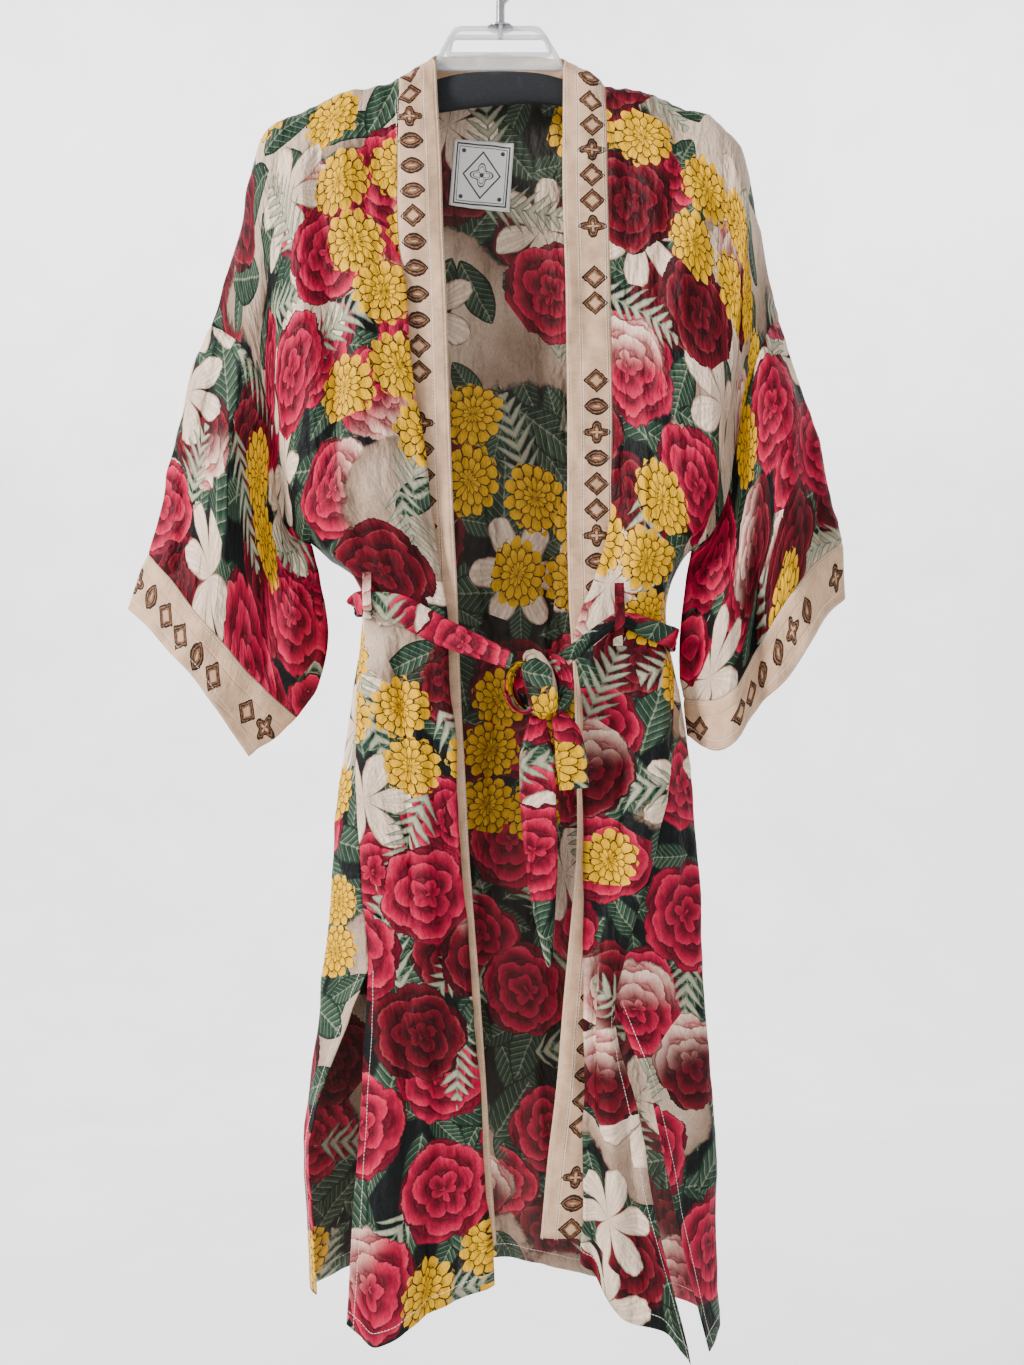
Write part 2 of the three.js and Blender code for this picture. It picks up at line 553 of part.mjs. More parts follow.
function neighbours(piece, i, j) {
  const { grid, closed } = piece;
  const n = grid[0].length;
  const wrap = (k) => (closed ? (k + n) % n : clamp(k, 0, n - 1));
  return {
    up: grid[Math.max(i - 1, 0)][j],
    down: grid[Math.min(i + 1, grid.length - 1)][j],
    before: grid[i][wrap(j - 1)],
    after: grid[i][wrap(j + 1)],
  };
}

function findNormals(piece) {
  const { grid, facing } = piece;
  piece.normals = grid.map((row, i) => row.map((_, j) => {
    const { up, down, before, after } = neighbours(piece, i, j);
    return down.clone().sub(up).cross(after.clone().sub(before)).normalize();
  }));
  const i = Math.floor(grid.length * facing.row);
  const j = Math.floor(grid[0].length * facing.column);
  piece.sign = Math.sign(piece.normals[i][j].dot(facing.direction)) || 1;
  piece.normals.forEach((row) => row.forEach((n) => n.multiplyScalar(piece.sign)));
}

// Points of two or more pieces that meet at a seam share one normal, and each piece stops short
function joinPoints(refs) {
  const sum = new THREE.Vector3();
  for (const { piece, i, j } of refs) sum.add(piece.normals[i][j]);
  sum.normalize();
  for (const { piece, i, j } of refs) piece.normals[i][j].copy(sum);
}

function setInset(piece, i, j, towardRow, towardColumn) {
  const key = `${i},${j}`;
  const list = piece.insets.get(key) ?? [];
  list.push([towardRow, towardColumn]);
  piece.insets.set(key, list);
}

function seamShift(piece, i, j) {
  const shift = new THREE.Vector3();
  const list = piece.insets.get(`${i},${j}`);
  if (!list) return shift;
  const { up, down, before, after } = neighbours(piece, i, j);
  const normal = piece.normals[i][j];
  for (const [towardRow, towardColumn] of list) {
    const inside = piece.grid[i + towardRow][j + towardColumn].clone().sub(piece.grid[i][j]);
    const along = towardRow === 0 ? down.clone().sub(up) : after.clone().sub(before);
    const across = new THREE.Vector3().crossVectors(normal, along).normalize();
    if (across.dot(inside) < 0) across.negate();
    shift.addScaledVector(across, SEAM_GAP / 2);
  }
  return shift;
}

// Closed wall on a grid of points: an outer and an inner skin, with rims at the open edges
function wallGeometry(piece) {
  const { grid, closed, normals, sign, wall } = piece;
  const rows = grid.length;
  const columns = grid[0].length;
  const positions = [];
  const unshifted = [];
  const index = [];
  for (const side of [1, -1]) {
    for (let i = 0; i < rows; i += 1) {
      for (let j = 0; j < columns; j += 1) {
        const p = grid[i][j].clone().addScaledVector(normals[i][j], (side * wall) / 2);
        unshifted.push(p.clone());
        p.add(seamShift(piece, i, j));
        positions.push(p.x, p.y, p.z);
      }
    }
  }
  const at = (side, i, j) => side * rows * columns + i * columns + (j % columns);
  // each four-sided patch is split along its shorter diagonal, judged before the seam gap is
  // taken off, so that the rims on both sides of a seam are split alike
  const quad = (a, b, c, d) => {
    const near = unshifted[a].distanceTo(unshifted[c]) < unshifted[b].distanceTo(unshifted[d]);
    const faces = near ? [[a, b, c], [a, c, d]] : [[a, b, d], [b, c, d]];
    for (const [p, q, r] of faces) {
      if (sign > 0) index.push(p, q, r);
      else index.push(p, r, q);
    }
  };
  const lastColumn = closed ? columns : columns - 1;
  for (let i = 0; i < rows - 1; i += 1) {
    for (let j = 0; j < lastColumn; j += 1) {
      quad(at(0, i, j), at(0, i + 1, j), at(0, i + 1, j + 1), at(0, i, j + 1));
      quad(at(1, i, j), at(1, i, j + 1), at(1, i + 1, j + 1), at(1, i + 1, j));
    }
  }
  for (let j = 0; j < lastColumn; j += 1) {
    quad(at(0, 0, j), at(0, 0, j + 1), at(1, 0, j + 1), at(1, 0, j));
    const e = rows - 1;
    quad(at(0, e, j), at(1, e, j), at(1, e, j + 1), at(0, e, j + 1));
  }
  if (!closed) {
    for (let i = 0; i < rows - 1; i += 1) {
      quad(at(0, i, 0), at(1, i, 0), at(1, i + 1, 0), at(0, i + 1, 0));
      const e = columns - 1;
      quad(at(0, i, e), at(0, i + 1, e), at(1, i + 1, e), at(1, i, e));
    }
  }
  const geometry = new THREE.BufferGeometry();
  geometry.setAttribute('position', new THREE.Float32BufferAttribute(positions, 3));
  geometry.setIndex(index);
  geometry.computeVertexNormals();
  return geometry;
}

// Solid through closed sections, with a cap at each end
function loftGeometry(sections) {
  const sides = sections[0].length;
  const positions = [];
  const index = [];
  sections.forEach((section) => section.forEach((p) => positions.push(p.x, p.y, p.z)));
  const caps = [sections[0], sections.at(-1)].map((section) => {
    const middle = new THREE.Vector3();
    section.forEach((p) => middle.addScaledVector(p, 1 / sides));
    positions.push(middle.x, middle.y, middle.z);
    return positions.length / 3 - 1;
  });
  for (let i = 0; i < sections.length - 1; i += 1) {
    for (let j = 0; j < sides; j += 1) {
      const a = i * sides + j;
      const b = i * sides + ((j + 1) % sides);
      index.push(a, b, b + sides, a, b + sides, a + sides);
    }
  }
  const last = (sections.length - 1) * sides;
  for (let j = 0; j < sides; j += 1) {
    index.push(caps[0], (j + 1) % sides, j);
    index.push(caps[1], last + j, last + ((j + 1) % sides));
  }
  const geometry = new THREE.BufferGeometry();
  geometry.setAttribute('position', new THREE.Float32BufferAttribute(positions, 3));
  geometry.setIndex(index);
  if (signedVolume(positions, index) < 0) {
    for (let k = 0; k < index.length; k += 3) {
      [index[k + 1], index[k + 2]] = [index[k + 2], index[k + 1]];
    }
    geometry.setIndex(index);
  }
  geometry.computeVertexNormals();
  return geometry;
}

function signedVolume(positions, index) {
  let volume = 0;
  const corner = (k) => new THREE.Vector3().fromArray(positions, index[k] * 3);
  for (let k = 0; k < index.length; k += 3) {
    volume += corner(k).dot(corner(k + 1).cross(corner(k + 2))) / 6;
  }
  return volume;
}

// Points along a strap's table
function strapSamples(rows, steps = STRAP_STEPS) {
  const count = (rows.length - 1) * steps;
  return Array.from({ length: count + 1 }, (_, k) => rowAt(rows, k / steps));
}

// Strap laid on panels: wherever a panel lies under it, it is moved out to clear the cloth
function layOn(samples, grids, side) {
  const pick = side < 0 ? Math.min : Math.max;
  return samples.map((row, k) => {
    const reach = [];
    const before = samples[Math.max(k - 1, 0)];
    const after = samples[Math.min(k + 1, samples.length - 1)];
    const across = new THREE.Vector2(after.drop - before.drop, after.x - before.x).normalize();
    const tilted = 0.75 * Math.abs(row.width / 2 * Math.sin(row.roll));
    for (const u of [-0.5, -0.3, 0, 0.3, 0.5]) {
      const half = tilted + row.thick / 2 * Math.sqrt(1 - 3 * u * u);
      for (const s of [-0.9, -0.6, -0.3, 0, 0.3, 0.6, 0.9]) {
        const next = s < 0 ? before : after;
        const x = lerp(row.x, next.x, Math.abs(s));
        const drop = lerp(row.drop, next.drop, Math.abs(s));
        for (const grid of grids) {
          const depth = panelDepth(grid, x + across.x * u * row.width,
            across.y * u * row.width - drop, pick);
          if (!Number.isNaN(depth)) reach.push(depth + side * half);
        }
      }
    }
    if (!reach.length) return row;
    return { ...row, y: pick(row.y, pick(...reach) + side * (WALL / 2 + STRAP_GAP)) };
  });
}

// Belt carrier: laid on the front, and lifted over the belt where it crosses
function loopOver(rows, belt) {
  const laid = layOn(strapSamples(rows), frontCloth, -1);
  return laid.map((row) => {
    const over = belt.filter((b) => Math.abs(b.x - row.x) < 14
      && Math.abs(b.drop - row.drop) < b.width / 2 + 3);
    const front = Math.min(...over.map((b) => (
      b.y - b.thick / 2 - Math.abs(b.width / 2 * Math.sin(b.roll)))));
    const clear = front - LAY_GAP - row.thick / 2;
    return over.length && clear < row.y ? { ...row, y: clear } : row;
  });
}

// Row of a strap's end moved to start where another strap ends, behind it
function afterEnd(row, mate) {
  return { ...row, x: mate.x, drop: mate.drop, y: mate.y + STRAP_JOINT };
}

// Flat strap along a centre line, facing the viewer, or standing upright round the body
function strapGeometry(samples, { sides: corners = STRAP_SIDES, upright = false } = {}) {
  const reference = upright ? new THREE.Vector3(0, 0, 1) : new THREE.Vector3(0, 1, 0);
  const last = samples.length - 1;
  const path = samples.map((row) => point(row.x, row.drop, row.y));
  const sections = path.map((p, k) => {
    const along = path[Math.min(k + 1, last)].clone().sub(path[Math.max(k - 1, 0)]).normalize();
    const across = new THREE.Vector3().crossVectors(along, reference).normalize();
    const out = new THREE.Vector3().crossVectors(across, along).normalize();
    const [wide, deep] = upright ? [out, across] : [across, out];
    const { width, thick, roll } = samples[k];
    return Array.from({ length: corners }, (_, m) => {
      const angle = (2 * Math.PI * m) / corners;
      const u = Math.sign(Math.cos(angle)) * Math.abs(Math.cos(angle)) ** 0.8 * (width / 2);
      const v = Math.sign(Math.sin(angle)) * Math.abs(Math.sin(angle)) ** 0.6 * (thick / 2);
      const ru = u * Math.cos(roll) - v * Math.sin(roll);
      const rv = u * Math.sin(roll) + v * Math.cos(roll);
      return p.clone().addScaledVector(wide, ru).addScaledVector(deep, rv);
    });
  });
  return loftGeometry(sections);
}

function knotGeometry() {
  const { x, drop, y, halfWidth, halfHeight, halfDepth, lobes } = KNOT;
  const rings = 9;
  const sides = 16;
  const sections = [];
  for (let i = 0; i <= rings; i += 1) {
    const polar = lerp(0.16, Math.PI - 0.16, i / rings);
    const section = [];
    for (let j = 0; j < sides; j += 1) {
      const turn = (2 * Math.PI * j) / sides;
      const crease = 1 - 0.12 * Math.cos(lobes * turn + polar * 1.5) * Math.sin(polar);
      section.push(point(
        x + halfWidth * Math.sin(polar) * Math.cos(turn) * crease,
        drop - halfHeight * Math.cos(polar),
        y + halfDepth * Math.sin(polar) * Math.sin(turn) * crease,
      ));
    }
    sections.push(section);
  }
  return loftGeometry(sections);
}

function ridgeDrop(grid, x) {
  const [ridge] = grid;
  const k = ridge.findIndex((p) => Math.abs(p.x) >= Math.abs(x));
  if (k < 1) return -ridge[0].z;
  const f = (Math.abs(x) - Math.abs(ridge[k - 1].x)) / (Math.abs(ridge[k].x) - Math.abs(ridge[k - 1].x));
  return -lerp(ridge[k - 1].z, ridge[k].z, f);
}

function padGeometry() {
  const sections = PAD.map(({ x, topDrop, bottomDrop, halfDepth }) => {
    const { grid } = sides.find(({ sign }) => sign * x > 0) ?? sides[0];
    const neck = Math.abs(x) < Math.abs(grid[0][0].x);
    const top = neck ? topDrop : topDrop + ridgeDrop(grid, x) + WALL / 2 + LAY_GAP;
    const bottom = neck ? bottomDrop : top + bottomDrop;
    const middle = (top + bottom) / 2;
    const half = (bottom - top) / 2;
    return Array.from({ length: PAD_SIDES }, (_, k) => {
      const angle = (2 * Math.PI * k) / PAD_SIDES;
      return point(x, middle - half * Math.cos(angle), halfDepth * Math.sin(angle));
    });
  });
  return loftGeometry(sections);
}

function frameGeometry() {
  const shape = new THREE.Shape(FRAME.outline.map(([x, z]) => new THREE.Vector2(x, z)));
  shape.holes.push(new THREE.Path(FRAME.hole.map(([x, z]) => new THREE.Vector2(x, z))));
  const geometry = new THREE.ExtrudeGeometry(shape, { depth: FRAME.depth, bevelEnabled: false });
  geometry.rotateX(Math.PI / 2);
  geometry.translate(0, FRAME.depth / 2, 0);
  return geometry;
}

function hookGeometry() {
  const bend = HOOK_RADIUS + HOOK_WIRE;
  const stem = [[0, 64.6], [0, 56], [0.5, 48], [5, 41], [11, 35]].map(([x, drop]) => (
    { x, drop }));
  const arc = [];
  for (let degrees = -35; degrees <= 215; degrees += 25) {
    const angle = THREE.MathUtils.degToRad(degrees);
    arc.push({ x: bend * Math.cos(angle), drop: HOOK_RADIUS - bend * Math.sin(angle) });
  }
  const rows = [...stem, ...arc].map(({ x, drop }) => (
    { x, drop, y: 0, width: 2 * HOOK_WIRE, thick: 2 * HOOK_WIRE, roll: 0 }));
  return strapGeometry(strapSamples(rows));
}

// Depth of a panel's middle surface at a place, read from its own points
function panelDepth(grid, x, z, pick) {
  const place = new THREE.Vector2(x, z);
  const found = [];
  const flat = (p) => new THREE.Vector2(p.x, p.z);
  const area = (a, b, c) => b.clone().sub(a).cross(c.clone().sub(a));
  const test = (a, b, c) => {
    const whole = area(flat(a), flat(b), flat(c));
    if (Math.abs(whole) < 1e-6) return;
    const u = area(place, flat(b), flat(c)) / whole;
    const v = area(flat(a), place, flat(c)) / whole;
    const w = 1 - u - v;
    if (u >= 0 && v >= 0 && w >= 0) found.push(u * a.y + v * b.y + w * c.y);
  };
  for (let i = 0; i < grid.length - 1; i += 1) {
    for (let j = 0; j < grid[0].length - 1; j += 1) {
      test(grid[i][j], grid[i + 1][j], grid[i + 1][j + 1]);
      test(grid[i][j], grid[i + 1][j + 1], grid[i][j + 1]);
    }
  }
  return found.length ? pick(...found) : NaN;
}

function labelGrid(backPoints) {
  const { width, height, thickness, tilt } = LABEL_SIZE;
  const steps = 3;
  const lift = WALL / 2 + LAY_GAP + thickness / 2;
  const grid = [];
  for (let i = 0; i <= steps; i += 1) {
    const row = [];
    for (let j = 0; j <= steps; j += 1) {
      const u = (j / steps - 0.5) * width;
      const v = (0.5 - i / steps) * height;
      const x = LABEL_CENTRE.x + u * Math.cos(tilt) + v * Math.sin(tilt);
      const z = -LABEL_CENTRE.drop - u * Math.sin(tilt) + v * Math.cos(tilt);
      row.push(new THREE.Vector3(x, panelDepth(backPoints, x, z, Math.min) - lift, z));
    }
    grid.push(row);
  }
  return grid;
}

// The cloth
const toViewer = new THREE.Vector3(0, -1, 0);
const toBack = new THREE.Vector3(0, 1, 0);
const sides = [
  { name: 'right', sign: -1, rows: FRONT_RIGHT, back: BACK_RIGHT, sleeve: SLEEVE_RIGHT,
    neck: NECK_RIGHT_EDGE },
  { name: 'left', sign: 1, rows: FRONT_LEFT, back: BACK_LEFT, sleeve: SLEEVE_LEFT,
    neck: NECK_LEFT_EDGE },
];
for (const side of sides) side.grid = frontGrid(side.rows, side.sign);
const back = backGrid(sides);
const backLast = back[0].length - 1;
const neckFirst = BACK_STATIONS.length - 1;
const neckSeam = back[0].slice(neckFirst, neckFirst + NECK_STEPS + 1);

addPiece('back', back, { row: 0.6, column: 0.5, direction: toBack });
addPiece('band_neck', neckGrid(neckSeam), { row: 0.5, column: 0.5, direction: toBack });
for (const side of sides) {
  const { name, grid, sign, rows } = side;
  const armFront = grid.slice(0, underarmRow + 1).map((row) => row.at(-1));
  const edge = sign < 0 ? 0 : backLast;
  const armBack = back.slice(0, underarmRow + 1).map((row) => row[edge]);
  const { sleeve, cuff } = sleeveGrids(side.sleeve, sign, armFront, armBack);
  addPiece(`front_${name}`, grid, { row: 0.5, column: 0.55, direction: toViewer });
  addPiece(`sleeve_${name}`, sleeve, { row: 0.5, column: 0.25, direction: toViewer }, { closed: true });
  addPiece(`cuff_${name}`, cuff, { row: 0.5, column: 0.25, direction: toViewer }, { closed: true });
  const band = bandGrid(rows, sign, side.neck, grid.map((row) => row[0]));
  addPiece(`band_${name}`, band, { row: 0.5, column: 0.5, direction: toViewer });
}
for (const piece of Object.values(pieces)) findNormals(piece);

// Seams: which points of which pieces meet
const meetings = new Map();
function meet(piece, i, j, towardRow, towardColumn) {
  const p = piece.grid[i][j];
  const key = [p.x, p.y, p.z].map((v) => v.toFixed(3)).join(',');
  const list = meetings.get(key) ?? [];
  if (!list.some((ref) => ref.piece === piece)) list.push({ piece, i, j });
  meetings.set(key, list);
  setInset(piece, i, j, towardRow, towardColumn);
}
const neckPiece = pieces.band_neck;
for (let j = 0; j <= NECK_STEPS; j += 1) {
  meet(neckPiece, BAND_STEPS, j, -1, 0);
  meet(pieces.back, 0, neckFirst + j, 1, 0);
}
for (let j = 0; j <= backLast; j += 1) {
  if (j < neckFirst || j > neckFirst + NECK_STEPS) meet(pieces.back, 0, j, 1, 0);
}
for (const { name, sign, grid } of sides) {
  const front = pieces[`front_${name}`];
  const sleeve = pieces[`sleeve_${name}`];
  const cuff = pieces[`cuff_${name}`];
  const band = pieces[`band_${name}`];
  const lastColumn = grid[0].length - 1;
  const edge = sign < 0 ? 0 : backLast;
  const inward = sign < 0 ? 1 : -1;
  for (let j = 0; j <= lastColumn; j += 1) meet(front, 0, j, 1, 0);
  for (let i = 0; i < levels.length; i += 1) {
    meet(front, i, 0, 0, 1);
    meet(band, i, BAND_STEPS, 0, -1);
    if (i <= slitRow) {
      meet(front, i, lastColumn, 0, -1);
      meet(pieces.back, i, edge, 0, inward);
    }
  }
  for (let k = 0; k <= BAND_STEPS; k += 1) {
    meet(band, 0, k, 1, 0);
    meet(neckPiece, k, sign < 0 ? 0 : NECK_STEPS, 0, inward);
  }
  for (let j = 0; j < sleeve.grid[0].length; j += 1) {
    meet(sleeve, 0, j, 1, 0);
    meet(sleeve, SLEEVE_RINGS, j, -1, 0);
    meet(cuff, 0, j, 1, 0);
  }
}
for (const refs of meetings.values()) if (refs.length > 1) joinPoints(refs);
for (const { name } of sides) {
  const [ridge] = pieces[`front_${name}`].normals;
  for (let j = 1; j < FOLD_STATIONS; j += 1) {
    ridge[j].lerpVectors(ridge[0], ridge[FOLD_STATIONS], j / FOLD_STATIONS).normalize();
  }
}

addPiece('label', labelGrid(back), { row: 0.5, column: 0.5, direction: toViewer },
  { wall: LABEL_SIZE.thickness });
findNormals(pieces.label);

// Materials and the finished group
const materials = Object.fromEntries(Object.entries(COLOURS).map(([name, values]) => (
  [name, new THREE.MeshStandardMaterial({ name, ...values })])));
const group = new THREE.Group();
function addMesh(name, geometry, material) {
  const mesh = new THREE.Mesh(geometry, material);
  mesh.name = name;
  group.add(mesh);
}
for (const piece of Object.values(pieces)) {
  let material = materials.print;
  if (/^(band|cuff)/.test(piece.name)) material = materials.band;
  if (piece.name === 'label') material = materials.label;
  addMesh(piece.name, wallGeometry(piece), material);
}
const frontCloth = ['front_right', 'front_left', 'band_right', 'band_left'].map((name) => (
  pieces[name].grid));
const beltRight = layOn(strapSamples(BELT_RIGHT), frontCloth, -1);
const beltLeft = layOn(strapSamples(BELT_LEFT), frontCloth, -1);
const beltBack = layOn(strapSamples(BELT_BACK), [back], 1);
beltBack[0] = afterEnd(beltBack[0], beltRight[0]);
beltBack[beltBack.length - 1] = afterEnd(beltBack.at(-1), beltLeft.at(-1));
addMesh('belt_right', strapGeometry(beltRight), materials.print);
addMesh('belt_left', strapGeometry(beltLeft), materials.print);
addMesh('belt_back', strapGeometry(beltBack, { upright: true }), materials.print);
addMesh('belt_tail_long', strapGeometry(strapSamples(TAIL_LONG)), materials.print);
addMesh('belt_tail_short', strapGeometry(strapSamples(TAIL_SHORT)), materials.print);
addMesh('belt_loop_right', strapGeometry(loopOver(LOOP_RIGHT, beltRight)), materials.print);
addMesh('belt_loop_left', strapGeometry(loopOver(LOOP_LEFT, beltLeft)), materials.print);
addMesh('belt_knot', knotGeometry(), materials.print);
addMesh('hanger_pad', padGeometry(), materials.foam);
addMesh('hanger_frame', frameGeometry(), materials.clear);
addMesh('hanger_hook', hookGeometry(), materials.steel);

export default group;
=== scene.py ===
"""Long printed kimono with a tied sash on a padded hanger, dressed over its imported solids."""

import math
from functools import partialmethod

import bmesh
import bpy
import numpy as np
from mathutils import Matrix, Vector
from mathutils.kdtree import KDTree


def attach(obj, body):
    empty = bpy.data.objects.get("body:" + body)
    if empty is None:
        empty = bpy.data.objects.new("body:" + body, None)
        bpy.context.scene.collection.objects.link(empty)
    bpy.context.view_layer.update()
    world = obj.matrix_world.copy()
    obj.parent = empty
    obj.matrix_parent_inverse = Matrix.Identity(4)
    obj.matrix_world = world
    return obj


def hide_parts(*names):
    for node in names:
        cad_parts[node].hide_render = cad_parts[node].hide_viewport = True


bl_info = {
    "name": "Duster kimono on a hanger",
    "version": (1, 0, 0),
    "blender": (4, 5, 0),
    "location": "View3D > Sidebar > Kimono",
    "description": "Builds the cloth, bands, sash, stitching and hanger of a printed kimono",
    "category": "Object",
}

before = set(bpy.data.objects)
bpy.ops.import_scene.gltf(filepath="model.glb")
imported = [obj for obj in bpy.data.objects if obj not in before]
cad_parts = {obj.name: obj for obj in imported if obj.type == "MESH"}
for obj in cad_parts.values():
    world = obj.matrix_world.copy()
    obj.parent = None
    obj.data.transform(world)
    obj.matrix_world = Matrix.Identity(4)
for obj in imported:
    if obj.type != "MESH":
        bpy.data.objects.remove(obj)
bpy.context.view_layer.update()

MM = 0.001
# Rows of the panels' tables at the underarm, at the top of the side slits and at the hem
UNDERARM = 8
SLIT = 16
HEM = 19
# Millimetres: the front bands' width, the lapping folds' height and run, and the sleeves' swell
BAND_WIDTH = 42.5
FOLD_LIFT = 12
FOLD_START = 11
SLEEVE_DEPTH = 16
TO_VIEWER = (0, -1, 0)
TO_BACK = (0, 1, 0)


def table(columns, text):
    """Named columns of numbers, one row of text for each row of the table."""
    rows = np.array([line.split() for line in text.strip().splitlines()], float)
    return {name: rows[:, k] for k, name in enumerate(columns.split())}


# Panels: a row for each level from the shoulder ridge to the hem, in millimetres from the hook.
# X is measured outwards from the centre line, drop downwards and y away from the viewer.
FRONT_COLUMNS = (
    "seam_drop seam_x fold_x chest_x chest_drop tip_x tip_drop end_x end_drop "
    "seam_y chest_y tip_y mid_y end_y"
)
BACK_COLUMNS = "side_x side_drop side_y blade_x blade_drop blade_y end_x end_drop end_y"
FOLD_COLUMNS = "from_x from_drop to_x to_drop width lift"
EDGE_COLUMNS = "x drop y"
STRAP_COLUMNS = "x drop y width thick roll"
FRONT_RIGHT = table(FRONT_COLUMNS, """
    119 95 106 149 134 221 172 272 350 0 0 0 0 0
    122 95 106 149 137 219 175 268 353 -10 -10 -10 -6 -5
    133 95 106 149 148 215 186 260 358 -17 -17 -16 -14 -12
    184 96 107 149 190 214 244 237 379 -22 -27 -24 -26 -24
    249 96 106 147 255 206 310 221 424 -26 -34 -31 -24 -17
    314 93 90 141 324 199 379 218 470 -26 -38 -34 -18 -9
    379 91 84 138 392 193 444 213 511 -26 -42 -36 -15 -5
    444 89 74 132 461 185 506 201 545 -25 -44 -38 -16 -2
    500 87 67 125 519 171 541 180 556 -24 -44 -38 -18 0
    547 85 60 113 563 149 569 158 572 -22 -42 -34 -18 0
    589 83 55 104 598 132 591 138 588 -20 -38 -28 -15 0
    621 82 50 97 623 125 616 130 612 -18 -34 -24 -14 0
    649 81 49 95 649 125 649 132 649 -18 -34 -26 -16 -3
    705 79 47 95 705 125 705 134 705 -20 -38 -34 -28 -20
    779 75 42 93 779 121 779 132 779 -22 -41 -40 -36 -29
    854 71 37 87 854 115 854 127 854 -22 -43 -43 -41 -36
    956 63 30 84 956 108 956 121 952 -22 -45 -46 -45 -42
    1040 57 23 78 1044 113 1049 126 1051 -22 -46 -48 -47 -44
    1123 52 18 76 1137 117 1151 132 1156 -22 -48 -50 -49 -46
    1212 46 13 71 1270 116 1294 140 1276 -22 -50 -53 -52 -48
""")
FRONT_LEFT = table(FRONT_COLUMNS, """
    124 99 110 151 138 223 176 264 345 0 0 0 0 0
    127 99 110 151 141 221 179 261 348 -10 -10 -10 -6 -5
    138 99 110 151 152 217 190 255 352 -17 -17 -16 -14 -12
    184 100 111 151 193 219 247 244 375 -22 -27 -24 -26 -24
    249 101 112 149 258 216 314 232 421 -26 -34 -32 -24 -16
    314 103 112 147 328 210 381 223 468 -26 -38 -36 -18 -8
    379 104 112 144 396 201 444 216 510 -26 -42 -38 -12 -3
    444 105 112 141 465 192 506 200 547 -25 -44 -40 -14 0
    500 105 107 136 519 177 543 184 558 -24 -44 -38 -18 0
    547 105 100 130 565 164 565 171 574 -22 -42 -34 -18 0
    589 106 88 121 601 152 598 160 595 -20 -38 -28 -15 0
    621 107 76 115 626 146 623 156 621 -18 -34 -24 -14 0
    649 109 70 113 654 149 651 158 651 -18 -34 -26 -16 -3
    705 112 78 122 705 153 705 162 705 -20 -38 -34 -28 -20
    779 114 79 120 779 143 779 154 779 -22 -41 -40 -36 -30
    854 113 82 116 854 129 854 140 854 -22 -43 -44 -42 -37
    986 101 80 91 986 98 986 105 984 -23 -45 -46 -45 -43
    1060 95 80 96 1066 112 1070 122 1072 -24 -46 -48 -47 -45
    1130 87 79 102 1140 124 1150 136 1154 -25 -48 -51 -50 -46
    1205 80 78 112 1270 152 1282 174 1314 -26 -50 -54 -53 -47
""")
BACK_RIGHT = table(BACK_COLUMNS, """
    221 172 0 149 134 0 272 350 0
    219 175 9 149 137 10 268 353 5
    215 186 15 149 148 17 260 358 11
    214 244 23 149 190 26 237 379 22
    206 310 29 147 255 32 221 424 22
    199 379 31 141 324 35 218 470 19
    193 444 32 138 392 37 213 511 14
    185 506 32 132 461 38 201 545 7
    171 541 32 125 519 38 180 556 0
    149 569 28 113 563 38 0 0 0
    132 591 22 104 598 36 0 0 0
    126 616 18 97 623 35 0 0 0
    130 649 14 97 649 36 0 0 0
    139 705 6 100 705 38 0 0 0
    148 785 2 104 785 40 0 0 0
    156 854 -2 108 854 42 0 0 0
    165 956 -4 114 956 44 0 0 0
    172 1045 -2 118 1045 46 157 1050 -38
    178 1135 0 121 1135 46 173 1128 -26
    177 1262 4 118 1250 46 170 1262 -16
""")
BACK_LEFT = table(BACK_COLUMNS, """
    223 176 0 151 138 0 264 345 0
    221 179 9 151 141 10 261 348 5
    217 190 15 151 152 17 255 352 11
    219 247 23 151 193 26 244 375 22
    216 314 29 149 258 32 232 421 24
    210 381 31 147 328 35 223 468 22
    201 444 32 144 396 37 216 510 14
    192 506 32 141 465 38 200 547 7
    177 543 32 136 519 38 184 558 0
    164 565 28 130 565 38 0 0 0
    154 598 22 121 601 36 0 0 0
    152 623 18 117 626 35 0 0 0
    158 651 14 117 651 36 0 0 0
    169 705 6 122 705 38 0 0 0
    180 779 2 128 779 40 0 0 0
    185 854 -2 132 854 42 0 0 0
    192 984 -4 138 984 44 0 0 0
    197 1072 -4 142 1072 46 136 1072 -47
    201 1154 -2 145 1154 46 156 1158 -44
    204 1292 0 146 1282 46 192 1308 -34
""")
BACK_CENTRE = table("drop y", """
    122 26
    126 26
    136 27
    184 29
    249 32
    314 34
    379 36
    444 38
    500 40
    547 41
    589 41
    621 41
    649 42
    705 43
    779 45
    854 46
    970 46
    1058 46
    1145 46
    1252 46
""")
# Folds: where each starts and ends, its width, and its height away from the viewer
FRONT_FOLDS = table(FOLD_COLUMNS, """
    -186 180 -184 400 13 -9
    -160 220 -150 520 10 6
    -130 300 -112 560 12 -5
    -92 640 -78 900 9 6
    -72 700 -62 1240 10 -6
    -50 960 -70 1280 8 9
    -104 980 -100 1290 11 -6
    230 180 228 420 10 -9
    192 225 152 375 12 -8
    170 190 132 420 10 6
    128 440 118 600 11 -5
    118 680 104 960 8 6
    96 900 108 1260 10 -6
    112 1080 138 1270 9 6
""")
BACK_FOLDS = table(FOLD_COLUMNS, """
    -20 500 -34 1240 16 9
    38 560 38 1250 12 -9
    -80 620 -92 1240 18 8
    86 640 100 1250 18 8
    -58 660 -64 1230 12 -7
    -100 240 -70 560 20 5
    100 240 70 560 20 5
""")

